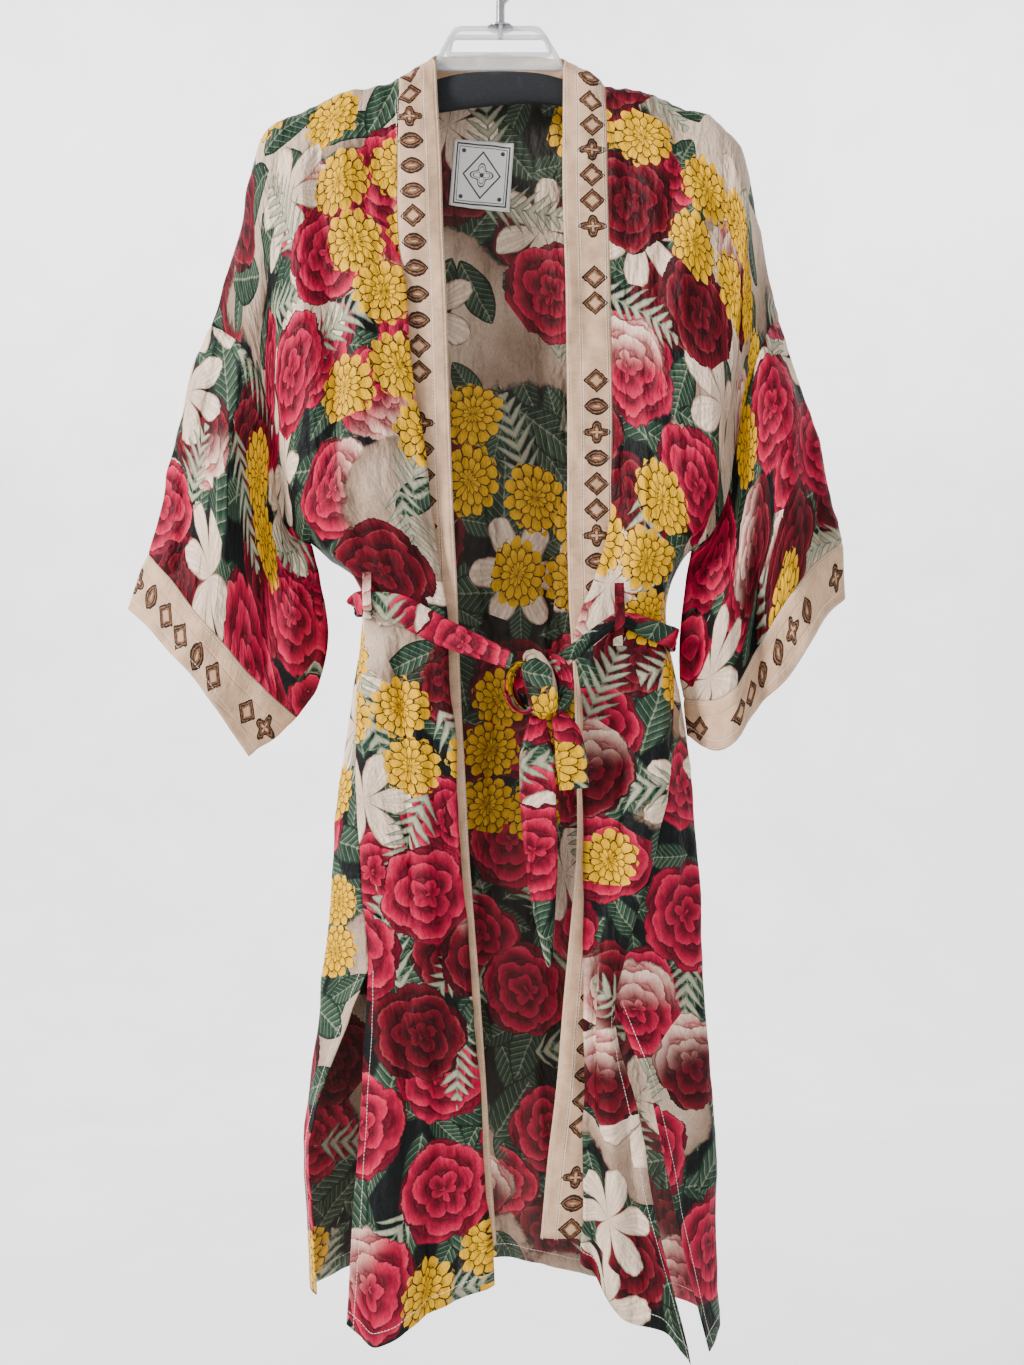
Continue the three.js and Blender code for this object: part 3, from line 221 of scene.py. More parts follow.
# Sleeves: the edge lines, then the front half of the cuff's seam and free edge, and the folds
SLEEVE_RIGHT = {
    "outer": table(EDGE_COLUMNS, """
    272 350 0
    295 418 0
    313 483 0
    322 528 0
    333 567 0
"""),
    "inner": table(EDGE_COLUMNS, """
    180 556 0
    172 592 0
    164 642 0
    174 690 0
    195 720 0
"""),
    "cuff_seam": table(EDGE_COLUMNS, """
    333 567 0
    309 591 -16
    289 616 -23
    261 647 -26
    233 682 -22
    195 720 0
"""),
    "cuff_edge": table(EDGE_COLUMNS, """
    352 619 0
    330 636 -17
    311 657 -25
    290 678 -28
    266 712 -24
    240 757 0
"""),
    "folds": table(FOLD_COLUMNS, """
    -248 450 -262 640 15 -14
    -212 540 -224 690 9 10
    -188 590 -196 690 9 -12
    -296 470 -300 590 9 7
    -268 380 -288 540 8 6
"""),
}
SLEEVE_LEFT = {
    "outer": table(EDGE_COLUMNS, """
    264 345 0
    288 422 0
    304 480 0
    313 522 0
    320 556 0
"""),
    "inner": table(EDGE_COLUMNS, """
    184 558 0
    177 592 0
    171 644 0
    171 678 0
    176 703 0
"""),
    "cuff_seam": table(EDGE_COLUMNS, """
    320 556 0
    297 574 -14
    277 597 -20
    257 628 -22
    236 664 -24
    206 702 -24
    176 703 0
"""),
    "cuff_edge": table(EDGE_COLUMNS, """
    326 609 0
    308 623 -15
    291 648 -22
    270 682 -24
    240 712 -26
    206 751 -22
    180 738 0
"""),
    "folds": table(FOLD_COLUMNS, """
    205 570 212 712 14 -16
    240 560 238 670 8 11
    266 400 272 620 13 -9
    290 450 300 570 8 6
    184 600 184 690 9 8
"""),
}
# Neck: the neck band's top edge, and the front bands' inner edges where they meet it
NECK_TOP = table(EDGE_COLUMNS, """
    -64 95 0
    -47 86 17
    0 80 26
    45 88 17
    61 98 0
""")
NECK_RIGHT_EDGE = table(EDGE_COLUMNS, """
    64 95 0
    62 101 -7
    60 114 -13
    58 184 -21
""")
NECK_LEFT_EDGE = table(EDGE_COLUMNS, """
    61 98 0
    60 104 -7
    59 117 -13
    59 184 -21
""")

# Sash: centre lines with the flat width, thickness and roll of the folded cloth
STRAPS = {
    "belt_right": table(STRAP_COLUMNS, """
    -137.5 616 -6 17 3.2 0
    -136.1 614.6 -15.5 20 3.3 0
    -130 614 -36.3 22 3.4 0
    -113.3 616.2 -38.9 25 3.7 0
    -93 621 -39.3 28 4 0
    -74.5 629.9 -37.8 27 4.2 0
    -56 640 -36.6 26 4.5 0
    -37.1 648.4 -39.2 24 5.2 0
    -19 656 -44 21 6 0.1
    -1 663.5 -51 18 6.5 0
    12.4 669 -57 16 7 0
"""),
    "belt_left": table(STRAP_COLUMNS, """
    55 669 -57 14 7 0
    64.1 662.1 -52.2 14 8.5 0.25
    76 653 -47 14 10 0.5
    87.4 643.9 -45.1 14 10 0.7
    98 636 -44 14 10 0.9
    105.1 631.6 -43.4 14.5 9 0.65
    112 630 -41.7 15 8 0.4
    121.6 632.1 -39.7 16.5 6.5 0.2
    132 636 -37 18 5 0
    143 640.1 -35.1 19 4.5 0
    153 644 -32.1 20 4 0
    160.3 646.5 -27.5 21 3.7 0
    165 648 -11.1 22 3.4 0
"""),
    "belt_back": table(STRAP_COLUMNS, """
    -137.5 616 -4.8 17 3.2 0
    -137.6 614.7 16.3 21 3.4 0
    -134 613 25.1 24 3.6 0
    -123.8 610.9 36.4 26 3.8 0
    -108 610 42.3 27 4 0
    -84.9 612.6 43.5 28 4 0
    -60 616 46.7 28 4 0
    -39.5 618.1 51.6 28 4 0
    -20 620 52.4 28 4 0
    -0.6 621.9 52.4 28 4 0
    20 624 47 28 4 0
    44 626.6 44.4 28 4 0
    70 630 44.2 28 4 0
    98.9 635 44 27 4 0
    126 640 42.6 26 4 0
    146.8 643.5 35.3 25 3.8 0
    161 646 26 24 3.6 0
    165.2 647.4 17.8 23 3.5 0
    165 648 -9.9 22 3.4 0
"""),
    "belt_tail_long": table(STRAP_COLUMNS, """
    34 719 -61 14 6 0
    34 735 -58.5 23 5 0
    34 752 -56 32 4 0.1
    34.3 774.6 -54.8 33 3.7 0
    35 800 -54 33 3.4 -0.1
    36.4 825.4 -53.4 32 3.3 -0.15
    38 850 -53 30 3.2 -0.2
    39 872.1 -52.9 26 3.1 -0.15
    40 892 -53 22 3 -0.1
    41.5 909.7 -53 17 2.8 -0.05
    43 925 -53 12 2.6 0
    44.2 938.6 -53 8 2.3 0
    45 948 -53 3 2 0
"""),
    "belt_tail_short": table(STRAP_COLUMNS, """
    51.6 717.4 -60 12 5 0
    56 724.2 -60.1 19 4.8 0.1
    61 734 -60 25 4.5 0.2
    63.4 745.4 -59.1 27 4 0.15
    65 758 -58 29 3.6 0.1
    66.7 773 -56.9 28 3.3 0.05
    68 785 -56 27 3 0
"""),
    "belt_loop_right": table(STRAP_COLUMNS, """
    -123 586 -39.6 8 1.4 0
    -123 592 -39 8 1.4 0
    -123 600 -42 8 1.4 0
    -123 608 -42.2 8 1.4 0
    -122.5 615.4 -42.2 8 1.4 0
    -122 622 -42.2 8 1.4 0
    -122 629 -42.2 8 1.4 0
"""),
    "belt_loop_left": table(STRAP_COLUMNS, """
    110 596 -39.5 9 1.4 0
    110 603 -39.6 9 1.4 0
    110 611 -42 9 1.4 0
    110.1 620 -49.7 9 1.4 0
    110 630 -52 9 1.4 0
    109.5 638.7 -48 9 1.4 0
    109 646 -38 9 1.4 0
    109 654 -36.3 9 1.4 0
"""),
}

# Where on the print each panel is cut, in metres
PRINT_STARTS = {"back": (3.1, 1.7), "front_right": (0.9, 0.4), "front_left": (5.3, 2.2),
                "sleeve_right": (7.1, 5.2), "sleeve_left": (2.3, 8.1),
                "band_left": (0, 0.7), "cuff_left": (0, 1.2), "cuff_right": (0, 2.1)}

# The fine cloth is sampled along the tables at these steps
LEVEL_STEPS = 7
LEVELS = np.linspace(0, HEM, HEM * LEVEL_STEPS + 1)
FRONT_STATIONS = np.concatenate([np.linspace(0, 4, 33), np.linspace(4, 8, 49)[1:]])
BACK_STATIONS = np.concatenate([np.linspace(4, 0.3, 45), [0.2, 0.1, 0]])
MIDDLE_STATIONS = np.linspace(1, 3, 41)
ARM_ROWS = UNDERARM * LEVEL_STEPS + 1
# Levels of the armhole that are spaced evenly round a sleeve's half
ARM_LEVELS = [0, 1, 2, 2.5, 3, 3.5, 4, 4.5, 5, 5.5, 6, 6.5, 7, 7.5, 8]
SLEEVE_ROWS = np.linspace(0, 1, 49)
CUFF_ROWS = np.linspace(0, 1, 11)
BAND_COLUMNS = np.linspace(0, 1, 13)


def smooth(value, low, high):
    """Smooth step from 0 at low to 1 at high."""
    t = np.clip((value - low) / (high - low), 0, 1)
    return t * t * (3 - 2 * t)


def mix(a, b, share):
    """Value between a and b."""
    return a + (b - a) * share


def row_at(rows, t, low=0, high=None):
    """Every column between the rows of a table, on a smooth curve within low..high."""
    t = np.atleast_1d(np.asarray(t, float))
    high = len(next(iter(rows.values()))) - 1 if high is None else high
    base = np.clip(np.floor(t).astype(int), low, high - 1)
    f = t - base
    blended = {}
    for name, values in rows.items():
        a, b, c, d = (values[np.clip(base + k, low, high)] for k in (-1, 0, 1, 2))
        rise = (2 * f**3 - 3 * f**2 + 1) * b + (3 * f**2 - 2 * f**3) * c
        blended[name] = rise + (f**3 - 2 * f**2 + f) * (c - a) / 2 + (f**3 - f**2) * (d - b) / 2
    return blended


def spline(controls, stations):
    """Smooth curve through control points, spaced by the square root of their distance."""
    controls = np.asarray(controls, float)
    stations = np.atleast_1d(np.asarray(stations, float))
    first = 2 * controls[..., :1, :] - controls[..., 1:2, :]
    last = 2 * controls[..., -1:, :] - controls[..., -2:-1, :]
    points = np.concatenate([first, controls, last], axis=-2)
    gaps = np.sqrt(np.linalg.norm(np.diff(points, axis=-2), axis=-1))
    base = np.clip(np.floor(stations).astype(int), 0, controls.shape[-2] - 2)
    f = (stations - base)[:, None]
    p0, p1, p2, p3 = (points[..., base + k, :] for k in range(4))
    d0, d1, d2 = (gaps[..., base + k][..., None] for k in range(3))
    d1 = np.where(d1 < 1e-4, 1, d1)
    d0 = np.where(d0 < 1e-4, d1, d0)
    d2 = np.where(d2 < 1e-4, d1, d2)
    t1 = ((p1 - p0) / d0 - (p2 - p0) / (d0 + d1) + (p2 - p1) / d1) * d1
    t2 = ((p2 - p1) / d1 - (p3 - p1) / (d1 + d2) + (p3 - p2) / d2) * d1
    bend = -3 * p1 + 3 * p2 - 2 * t1 - t2
    return p1 + t1 * f + bend * f**2 + (2 * p1 - 2 * p2 + t1 + t2) * f**3


def place(sign, x, drop, y):
    """Point of a table's row on the right (sign -1) or left (sign 1) side."""
    x, drop, y = np.broadcast_arrays(x, drop, y)
    return np.stack([sign * x, y, -drop], axis=-1).astype(float)


def fold_lift(folds, x, z):
    """Ridge height that the folds of a table add at places on a panel."""
    lift = np.zeros_like(x)
    for fx, fd, tx, td, width, height in zip(*(folds[name] for name in FOLD_COLUMNS.split())):
        length = math.hypot(tx - fx, td - fd)
        ax, az = (tx - fx) / length, (fd - td) / length
        rx, rz = x - fx, z + fd
        s = (rx * ax + rz * az) / length
        off = np.abs(rx * az - rz * ax) / width
        taper = smooth(s, -0.08, 0.22) * (1 - smooth(s, 0.85, 1.08))
        lift += height * np.exp(-off * off) * taper
    return lift


def front_points(rows, sign, t, stations):
    """Front panel's points: band seam, lapping fold, chest, tip, then armhole or side seam."""
    t = np.atleast_1d(np.asarray(t, float))
    row = row_at(rows, t)
    upper, lower = row_at(rows, t, 0, UNDERARM), row_at(rows, t, UNDERARM)
    end_x, end_drop, end_y = (
        np.where(t <= UNDERARM, upper[name], lower[name]) for name in ("end_x", "end_drop", "end_y"))
    lap = smooth(row["seam_x"] - row["fold_x"], -FOLD_START, FOLD_START)
    lift = FOLD_LIFT * lap
    across = (row["fold_x"] - row["seam_x"]) / (row["chest_x"] - row["seam_x"])
    fold_drop = mix(row["seam_drop"], row["chest_drop"], mix(across, 0.6, lap))
    turn = mix(0.25 * (row["fold_x"] - row["seam_x"]), 3, lap)
    seam_y = row["seam_y"]
    controls = np.stack([
        place(sign, row["seam_x"], row["seam_drop"], seam_y),
        place(sign, row["seam_x"] + turn, mix(row["seam_drop"], fold_drop, 0.25),
              seam_y - 0.2 * lift),
        place(sign, (row["seam_x"] + row["fold_x"]) / 2, mix(row["seam_drop"], fold_drop, 0.5),
              seam_y - 0.5 * lift),
        place(sign, row["fold_x"], fold_drop, seam_y - 0.78 * lift),
        place(sign, row["fold_x"] + mix(6, 10, lap), mix(fold_drop, row["chest_drop"], 0.12),
              seam_y - lift),
        place(sign, row["chest_x"], row["chest_drop"], row["chest_y"]),
        place(sign, row["tip_x"], row["tip_drop"], row["tip_y"]),
        place(sign, (row["tip_x"] + end_x) / 2, (row["tip_drop"] + end_drop) / 2, row["mid_y"]),
        place(sign, end_x, end_drop, end_y),
    ], axis=1)
    points = spline(controls, stations)
    hold = smooth(stations, 4, 5) * (1 - smooth(stations, 6.6, 8)) * smooth(t, 1, 3)[:, None]
    points[..., 1] += hold * fold_lift(FRONT_FOLDS, points[..., 0], points[..., 2])
    ends = spline(controls, [0, 4])
    share = np.clip(stations / 4, 0, 1)[:, None]
    line = mix(ends[:, :1], ends[:, 1:], share)
    straight = ((1 - np.clip(t, 0, 1))[:, None] * (stations < 4))[..., None]
    return mix(points, line, straight)


def back_points(front, back, sign, t):
    """Half of the back panel, from its edge to the neck side."""
    row = row_at({name: back[name] for name in back if not name.startswith("end")}, t)
    ends = ("end_x", "end_drop", "end_y")
    at_arm = row_at({name: back[name] for name in ends}, t, 0, UNDERARM)
    at_side = row_at({name: front[name] for name in ends}, t, UNDERARM)
    below = {name: np.concatenate([front[name][SLIT:SLIT + 1], back[name][SLIT + 1:]]) for name in ends}
    at_slit = row_at(below, t - SLIT)
    end = {name: np.where(t <= UNDERARM, at_arm[name],
                          np.where(t <= SLIT, at_side[name], at_slit[name])) for name in ends}
    centre, neck = row_at(BACK_CENTRE, t), row_at(front, t)
    neck_in = np.minimum(neck["seam_x"], 0.62 * row["blade_x"] + 8)
    neck_drop = mix(centre["drop"], row["blade_drop"], neck_in / row["blade_x"])
    level = smooth(t, 0, 2)
    bulge = smooth(t, UNDERARM, SLIT) * 0.12 * (row["side_y"] - end["end_y"])
    controls = np.stack([
        place(sign, neck_in, mix(neck["seam_drop"], neck_drop, level),
              mix(0, mix(row["blade_y"], centre["y"], 0.5), level)),
        place(sign, row["blade_x"], row["blade_drop"], row["blade_y"]),
        place(sign, row["side_x"], row["side_drop"], row["side_y"]),
        place(sign, (row["side_x"] + end["end_x"]) / 2 + bulge,
              (row["side_drop"] + end["end_drop"]) / 2,
              (row["side_y"] + end["end_y"]) / 2 + bulge * 0.4),
        place(sign, end["end_x"], end["end_drop"], end["end_y"]),
    ], axis=1)
    half = spline(controls, BACK_STATIONS)
    same = np.interp(BACK_STATIONS, [0, 0.3, 0.5, 4], [0, 4, 4.5, 8])
    ridge = front_points(front, sign, [0], same)[0]
    return half + (ridge - half[0]) * (1 - smooth(t, 0, 1))[:, None, None]


def back_grid():
    """Whole back panel, from the right edge to the left."""
    halves = [back_points(*side, LEVELS) for side in (
        (FRONT_RIGHT, BACK_RIGHT, -1), (FRONT_LEFT, BACK_LEFT, 1))]
    centre = row_at(BACK_CENTRE, LEVELS)
    spot = int(np.argmin(np.abs(BACK_STATIONS - 0.3)))
    controls = np.stack([
        halves[0][:, spot], halves[0][:, -1], place(1, 0, centre["drop"], centre["y"]),
        halves[1][:, -1], halves[1][:, spot]], axis=1)
    middle = spline(controls, MIDDLE_STATIONS)
    edge = np.interp(BACK_STATIONS[:-1], [0, 0.3, 0.5, 1, 1.33, 1.67, 2, 2.5, 3, 3.5, 4],
                     [10, 9, 8, 7, 6, 5, 4, 3, 2, 1, 0])
    hold = np.concatenate([edge, np.full(len(MIDDLE_STATIONS), 10), edge[::-1]])
    grid = np.concatenate([halves[0][:, :-1], middle, halves[1][:, :-1][:, ::-1]], axis=1)
    lift = smooth(hold, 1, 5) * smooth(LEVELS, 2, 4)[:, None]
    grid[..., 1] += lift * fold_lift(BACK_FOLDS, grid[..., 0], grid[..., 2])
    return grid


def edge_points(rows, sign, shares, depth_sign=1):
    """Points along an edge's table at shares from 0 to 1."""
    controls = place(sign, rows["x"], rows["drop"], depth_sign * rows["y"])
    return spline(controls, shares * (len(controls) - 1))


def sleeve_grids(spec, sign, arm_front, arm_back):
    """Sleeve from its armhole to the cuff seam, and the cuff, as rings of points."""
    shares = np.interp(LEVELS[:ARM_ROWS], ARM_LEVELS, np.linspace(0, 1, len(ARM_LEVELS)))
    s, v = SLEEVE_ROWS[:, None], shares[None, :]
    outer = edge_points(spec["outer"], sign, SLEEVE_ROWS)[:, None]
    inner = edge_points(spec["inner"], sign, SLEEVE_ROWS)[:, None]
    halves = []
    for depth_sign, arm in ((1, arm_front), (-1, arm_back)):
        seam = edge_points(spec["cuff_seam"], sign, shares, depth_sign)
        s3, v3 = s[..., None], v[..., None]
        patch = arm[None] * (1 - s3) + seam[None] * s3 + outer * (1 - v3) + inner * v3
        patch -= (1 - s3) * ((1 - v3) * arm[0] + v3 * arm[-1])
        patch -= s3 * ((1 - v3) * seam[0] + v3 * seam[-1])
        swell = np.sin(np.pi * v) * np.sin(np.pi * np.minimum(s * 1.2, 1))
        patch[..., 1] -= depth_sign * SLEEVE_DEPTH * swell
        if depth_sign > 0:
            hold = smooth(v, 0, 0.12) * (1 - smooth(v, 0.88, 1)) * smooth(s, 0, 0.25)
            patch[..., 1] += hold * fold_lift(spec["folds"], patch[..., 0], patch[..., 2])
        edge = edge_points(spec["cuff_edge"], sign, shares, depth_sign)
        edge[..., 1] += (patch[-1, :, 1] - seam[:, 1]) * 0.8
        halves.append((patch, edge))
    (front, front_edge), (rear, rear_edge) = halves
    sleeve = np.concatenate([front, rear[:, 1:-1][:, ::-1]], axis=1)
    free = np.concatenate([front_edge, rear_edge[1:-1][::-1]], axis=0)
    cuff = mix(sleeve[-1][None], free[None], CUFF_ROWS[:, None, None])
    return sleeve, cuff


def band_grid(rows, sign, top, seam):
    """Front band from its free inner edge to the seam with the front panel."""
    row = row_at(rows, LEVELS)
    head = row_at(top, np.minimum(LEVELS, len(top["x"]) - 1))
    below = smooth(LEVELS, 2, 4)
    inner = place(
        sign, mix(head["x"], row["seam_x"] - BAND_WIDTH, below),
        mix(head["drop"], row["seam_drop"], smooth(LEVELS, 2, 3)),
        mix(head["y"], row["seam_y"] - 1, below))
    return mix(inner[:, None], seam[:, None], BAND_COLUMNS[None, :, None])


def neck_grid(seam):
    """Band round the back of the neck, from its top edge to the seam with the back."""
    shares = np.linspace(0, 1, len(seam))
    top = edge_points(NECK_TOP, 1, shares)
    return mix(top[None], seam[None], BAND_COLUMNS[:, None, None])


# Soft drape: height, pitch, lean and run of each set of creases in millimetres, and its phase
CREASES = ((3.8, 58, 0.10, 330, 0.4), (2.6, 37, -0.16, 230, 2.1), (1.7, 23, 0.22, 150, 4.0),
           (1.0, 14, -0.3, 90, 1.2))
# How deep the seams sink, the height and pitch of the skirt's flutes, and the sash's level and reach
SEAM_SINK = 0.9
FLUTE_HEIGHT = 5.5
FLUTE_PITCH = 83
SASH_LEVEL = -640
SASH_REACH = 55


def creases(points):
    """Soft drape, in millimetres, that the cloth adds outwards at a place."""
    x, y, z = points[..., 0], points[..., 1], points[..., 2]
    total = np.zeros_like(x)
    for height, pitch, lean, run, phase in CREASES:
        wander = 0.9 * np.sin(2 * np.pi * z / (run * 1.7) + x / 70 + phase)
        wave = 0.5 + 0.5 * np.sin(2 * np.pi * (x + lean * z) / pitch + wander + 0.03 * y + phase)
        reach = 0.5 + 0.5 * np.sin(2 * np.pi * z / run + x / 60 + 2 * phase)
        total += height * wave**1.6 * reach
    near_sash = np.exp(-(((z - SASH_LEVEL) / SASH_REACH) ** 2))
    skirt = smooth(-z, 690, 1000) * (0.6 + 0.4 * np.sin(z / 130 + x / 90))
    wander = 0.5 * np.sin(z / 170 + 1.3)
    flutes = (0.5 + 0.5 * np.sin(2 * np.pi * (x - 0.04 * z) / FLUTE_PITCH + wander + 0.02 * y)) ** 1.5
    return total * (1 - 0.7 * near_sash) + FLUTE_HEIGHT * skirt * flutes


class Panel:
    """A cloth piece as a grid of points on the middle of its wall."""

    def __init__(self, name, grid, toward, spot, closed=False, wall=1.2, draped=True):
        self.name = name
        self.grid = grid
        self.closed = closed
        self.wall = wall
        self.draped = draped
        self.seams = np.zeros(grid.shape[:2])
        self.find_normals(toward, spot)

    def find_normals(self, toward, spot):
        """Unit normals that point out of the garment."""
        grid = self.grid
        down = np.gradient(grid, axis=0)
        if self.closed:
            along = np.roll(grid, -1, axis=1) - np.roll(grid, 1, axis=1)
        else:
            along = np.gradient(grid, axis=1)
        normals = np.cross(down, along)
        normals /= np.maximum(np.linalg.norm(normals, axis=-1, keepdims=True), 1e-9)
        i, j = int(grid.shape[0] * spot[0]), int(grid.shape[1] * spot[1])
        self.sign = 1 if normals[i, j] @ np.array(toward) > 0 else -1
        self.normals = normals * self.sign

    def rim(self):
        """Places of the grid's edge points."""
        rows, columns = self.grid.shape[:2]
        found = {(i, j) for i in (0, rows - 1) for j in range(columns)}
        if not self.closed:
            found |= {(i, j) for j in (0, columns - 1) for i in range(rows)}
        return sorted(found)

    def flat(self):
        """The cloth as cut: distance across and along the panel, in metres."""
        grid = self.grid
        steps = np.linalg.norm(np.diff(grid, axis=1), axis=-1)
        across = np.concatenate([np.zeros((len(grid), 1)), np.cumsum(steps, axis=1)], axis=1)
        drops = np.linalg.norm(np.diff(grid, axis=0), axis=-1)
        down = np.concatenate([np.zeros((1, grid.shape[1])), np.cumsum(drops, axis=0)], axis=0)
        if self.closed:
            closing = np.linalg.norm(grid[:, -1] - grid[:, 0], axis=-1)[:, None]
            across = np.minimum(across, across[:, -1:] + closing - across)
        if self.name in ("band_neck", "cuff_right", "cuff_left"):
            across, down = down, -across
        elif self.name.startswith("band"):
            down = np.broadcast_to(down.mean(axis=1, keepdims=True), down.shape)
        elif self.name == "label":
            across = across - across[:, -1:] / 2
            down = down - down[-1:] / 2
        elif not self.closed:
            middle = grid.shape[1] // 2
            across = across - across[:, middle:middle + 1] + grid[:, middle, 0][:, None]
            down = np.broadcast_to(down.mean(axis=1, keepdims=True), down.shape)
        return np.stack([across, -down], axis=-1) * MM + np.array(PRINT_STARTS.get(self.name, (0, 0)))

    def skin(self, side, lift=0.0):
        """Points of the outer (side 1) or inner (side -1) skin, draped, with seams sunk."""
        drape = creases(self.grid) if self.draped else 0
        shift = drape - SEAM_SINK * self.seams + side * (self.wall / 2 + lift)
        return self.grid + self.normals * np.broadcast_to(shift, self.seams.shape)[..., None]

    def area(self):
        """Area of the middle surface, in square metres."""
        grid = self.grid
        if self.closed:
            grid = np.concatenate([grid, grid[:, :1]], axis=1)
        a = grid[1:, :-1] - grid[:-1, :-1]
        b = grid[:-1, 1:] - grid[:-1, :-1]
        c = grid[1:, 1:] - grid[:-1, 1:]
        d = grid[1:, 1:] - grid[1:, :-1]
        halves = np.linalg.norm(np.cross(a, b), axis=-1) + np.linalg.norm(np.cross(c, d), axis=-1)
        return float(halves.sum() / 2) * MM * MM


def join_panels(panels):
    """Edge points that meet share one normal, so that the walls meet at the seams."""
    places = [(panel, i, j) for panel in panels for i, j in panel.rim()]
    tree = KDTree(len(places))
    for k, (panel, i, j) in enumerate(places):
        tree.insert(Vector(panel.grid[i, j]), k)
    tree.balance()
    found = {}
    for k, (panel, i, j) in enumerate(places):
        near = [index for _, index, _ in tree.find_range(Vector(panel.grid[i, j]), 0.05)]
        total = sum(places[m][0].normals[places[m][1], places[m][2]] for m in near)
        found[k] = total / max(np.linalg.norm(total), 1e-9)
        panel.seams[i, j] = len({places[m][0].name for m in near}) > 1
    for k, (panel, i, j) in enumerate(places):
        panel.normals[i, j] = found[k]


def linked(name, data):
    """Object of a mesh, a light or a camera, in the scene."""
    obj = bpy.data.objects.new(name, data)
    bpy.context.scene.collection.objects.link(obj)
    return obj


def declare(obj, node=None):
    """Puts a piece on the one body and hides the solid that it replaces."""
    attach(obj, "root")
    if node:
        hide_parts(node)


def grid_faces(rows, columns, closed_rows=False, closed_columns=False):
    """Corners of every face of a grid of points that are numbered row by row."""
    i, j = np.meshgrid(np.arange(rows - 1 + closed_rows), np.arange(columns - 1 + closed_columns),
                       indexing="ij")
    i, j = i.ravel(), j.ravel()
    below, beside = (i + 1) % rows, (j + 1) % columns
    return np.stack([i * columns + j, below * columns + j, below * columns + beside,
                     i * columns + beside], axis=1)


def new_object(name, points, faces, uv=None, materials=(), slots=None):
    """Mesh object at the origin from points in metres."""
    mesh = bpy.data.meshes.new(name)
    mesh.from_pydata([tuple(p) for p in points], [], [tuple(f) for f in faces])
    for material in materials:
        mesh.materials.append(material)
    if slots is not None:
        mesh.polygons.foreach_set("material_index", np.asarray(slots, np.int32))
    mesh.polygons.foreach_set("use_smooth", np.ones(len(mesh.polygons), bool))
    if uv is not None:
        layer = mesh.uv_layers.new(name="UVMap")
        corners = np.zeros(len(mesh.loops), np.int32)
        mesh.loops.foreach_get("vertex_index", corners)
        layer.data.foreach_set("uv", np.asarray(uv, np.float32)[corners].ravel())
    mesh.update()
    return linked(name, mesh)


def face_outwards(obj):
    """Turns every face of a closed mesh outwards."""
    bm = bmesh.new()
    bm.from_mesh(obj.data)
    bmesh.ops.recalc_face_normals(bm, faces=bm.faces)
    bm.to_mesh(obj.data)
    bm.free()


def wall_object(panel, materials):
    """Closed wall on a panel: outer and inner skins, with rims at the open edges."""
    rows, columns = panel.grid.shape[:2]
    points = np.concatenate([panel.skin(side).reshape(-1, 3) for side in (1, -1)]) * MM
    flat = panel.flat().reshape(-1, 2)
    outer = grid_faces(rows, columns, closed_columns=panel.closed)
    if panel.sign < 0:
        outer = outer[:, ::-1]
    shift = rows * columns
    inner = outer[:, ::-1] + shift
    rims = []
    across = np.arange(columns if panel.closed else columns - 1)
    for row in (0, rows - 1):
        p, q = row * columns + across, row * columns + (across + 1) % columns
        rims.append(np.stack([p, q, q + shift, p + shift], axis=1))
    if not panel.closed:
        along = np.arange(rows - 1)
        for column in (0, columns - 1):
            p, q = along * columns + column, (along + 1) * columns + column
            rims.append(np.stack([p, q, q + shift, p + shift], axis=1))
    rim = np.concatenate(rims)
    faces = np.concatenate([outer, inner, rim])
    slots = np.concatenate([np.zeros(len(outer)), np.ones(len(inner)), np.zeros(len(rim))])
    uv = np.concatenate([flat, flat])
    obj = new_object(panel.name + "_cloth", points, faces.tolist(), uv, materials, slots)
    face_outwards(obj)
    return obj


def add_node(tree, kind, settings=None, sockets=None):
    """One node: its settings are made first, then the values or links of its sockets."""
    made = tree.nodes.new(kind)
    for name, setting in (settings or {}).items():
        if name == "stops":
            elements = made.color_ramp.elements
            while len(elements) < len(setting):
                elements.new(0.5)
            for element, (position, colour) in zip(elements, setting):
                element.position = position
                element.color = (*colour, 1)
        else:
            setattr(made, name, setting)
    for name, value in (sockets or {}).items():
        socket = made.inputs[name]
        if isinstance(value, bpy.types.NodeSocket):
            tree.links.new(value, socket)
        else:
            socket.default_value = (*value, 1) if socket.type == "RGBA" else value
    return made


# Sockets of a Mix node that hold its share, its two colours and its result
MIX_SHARE = 0
MIX_FIRST = 6
MIX_SECOND = 7
MIX_RESULT = 2


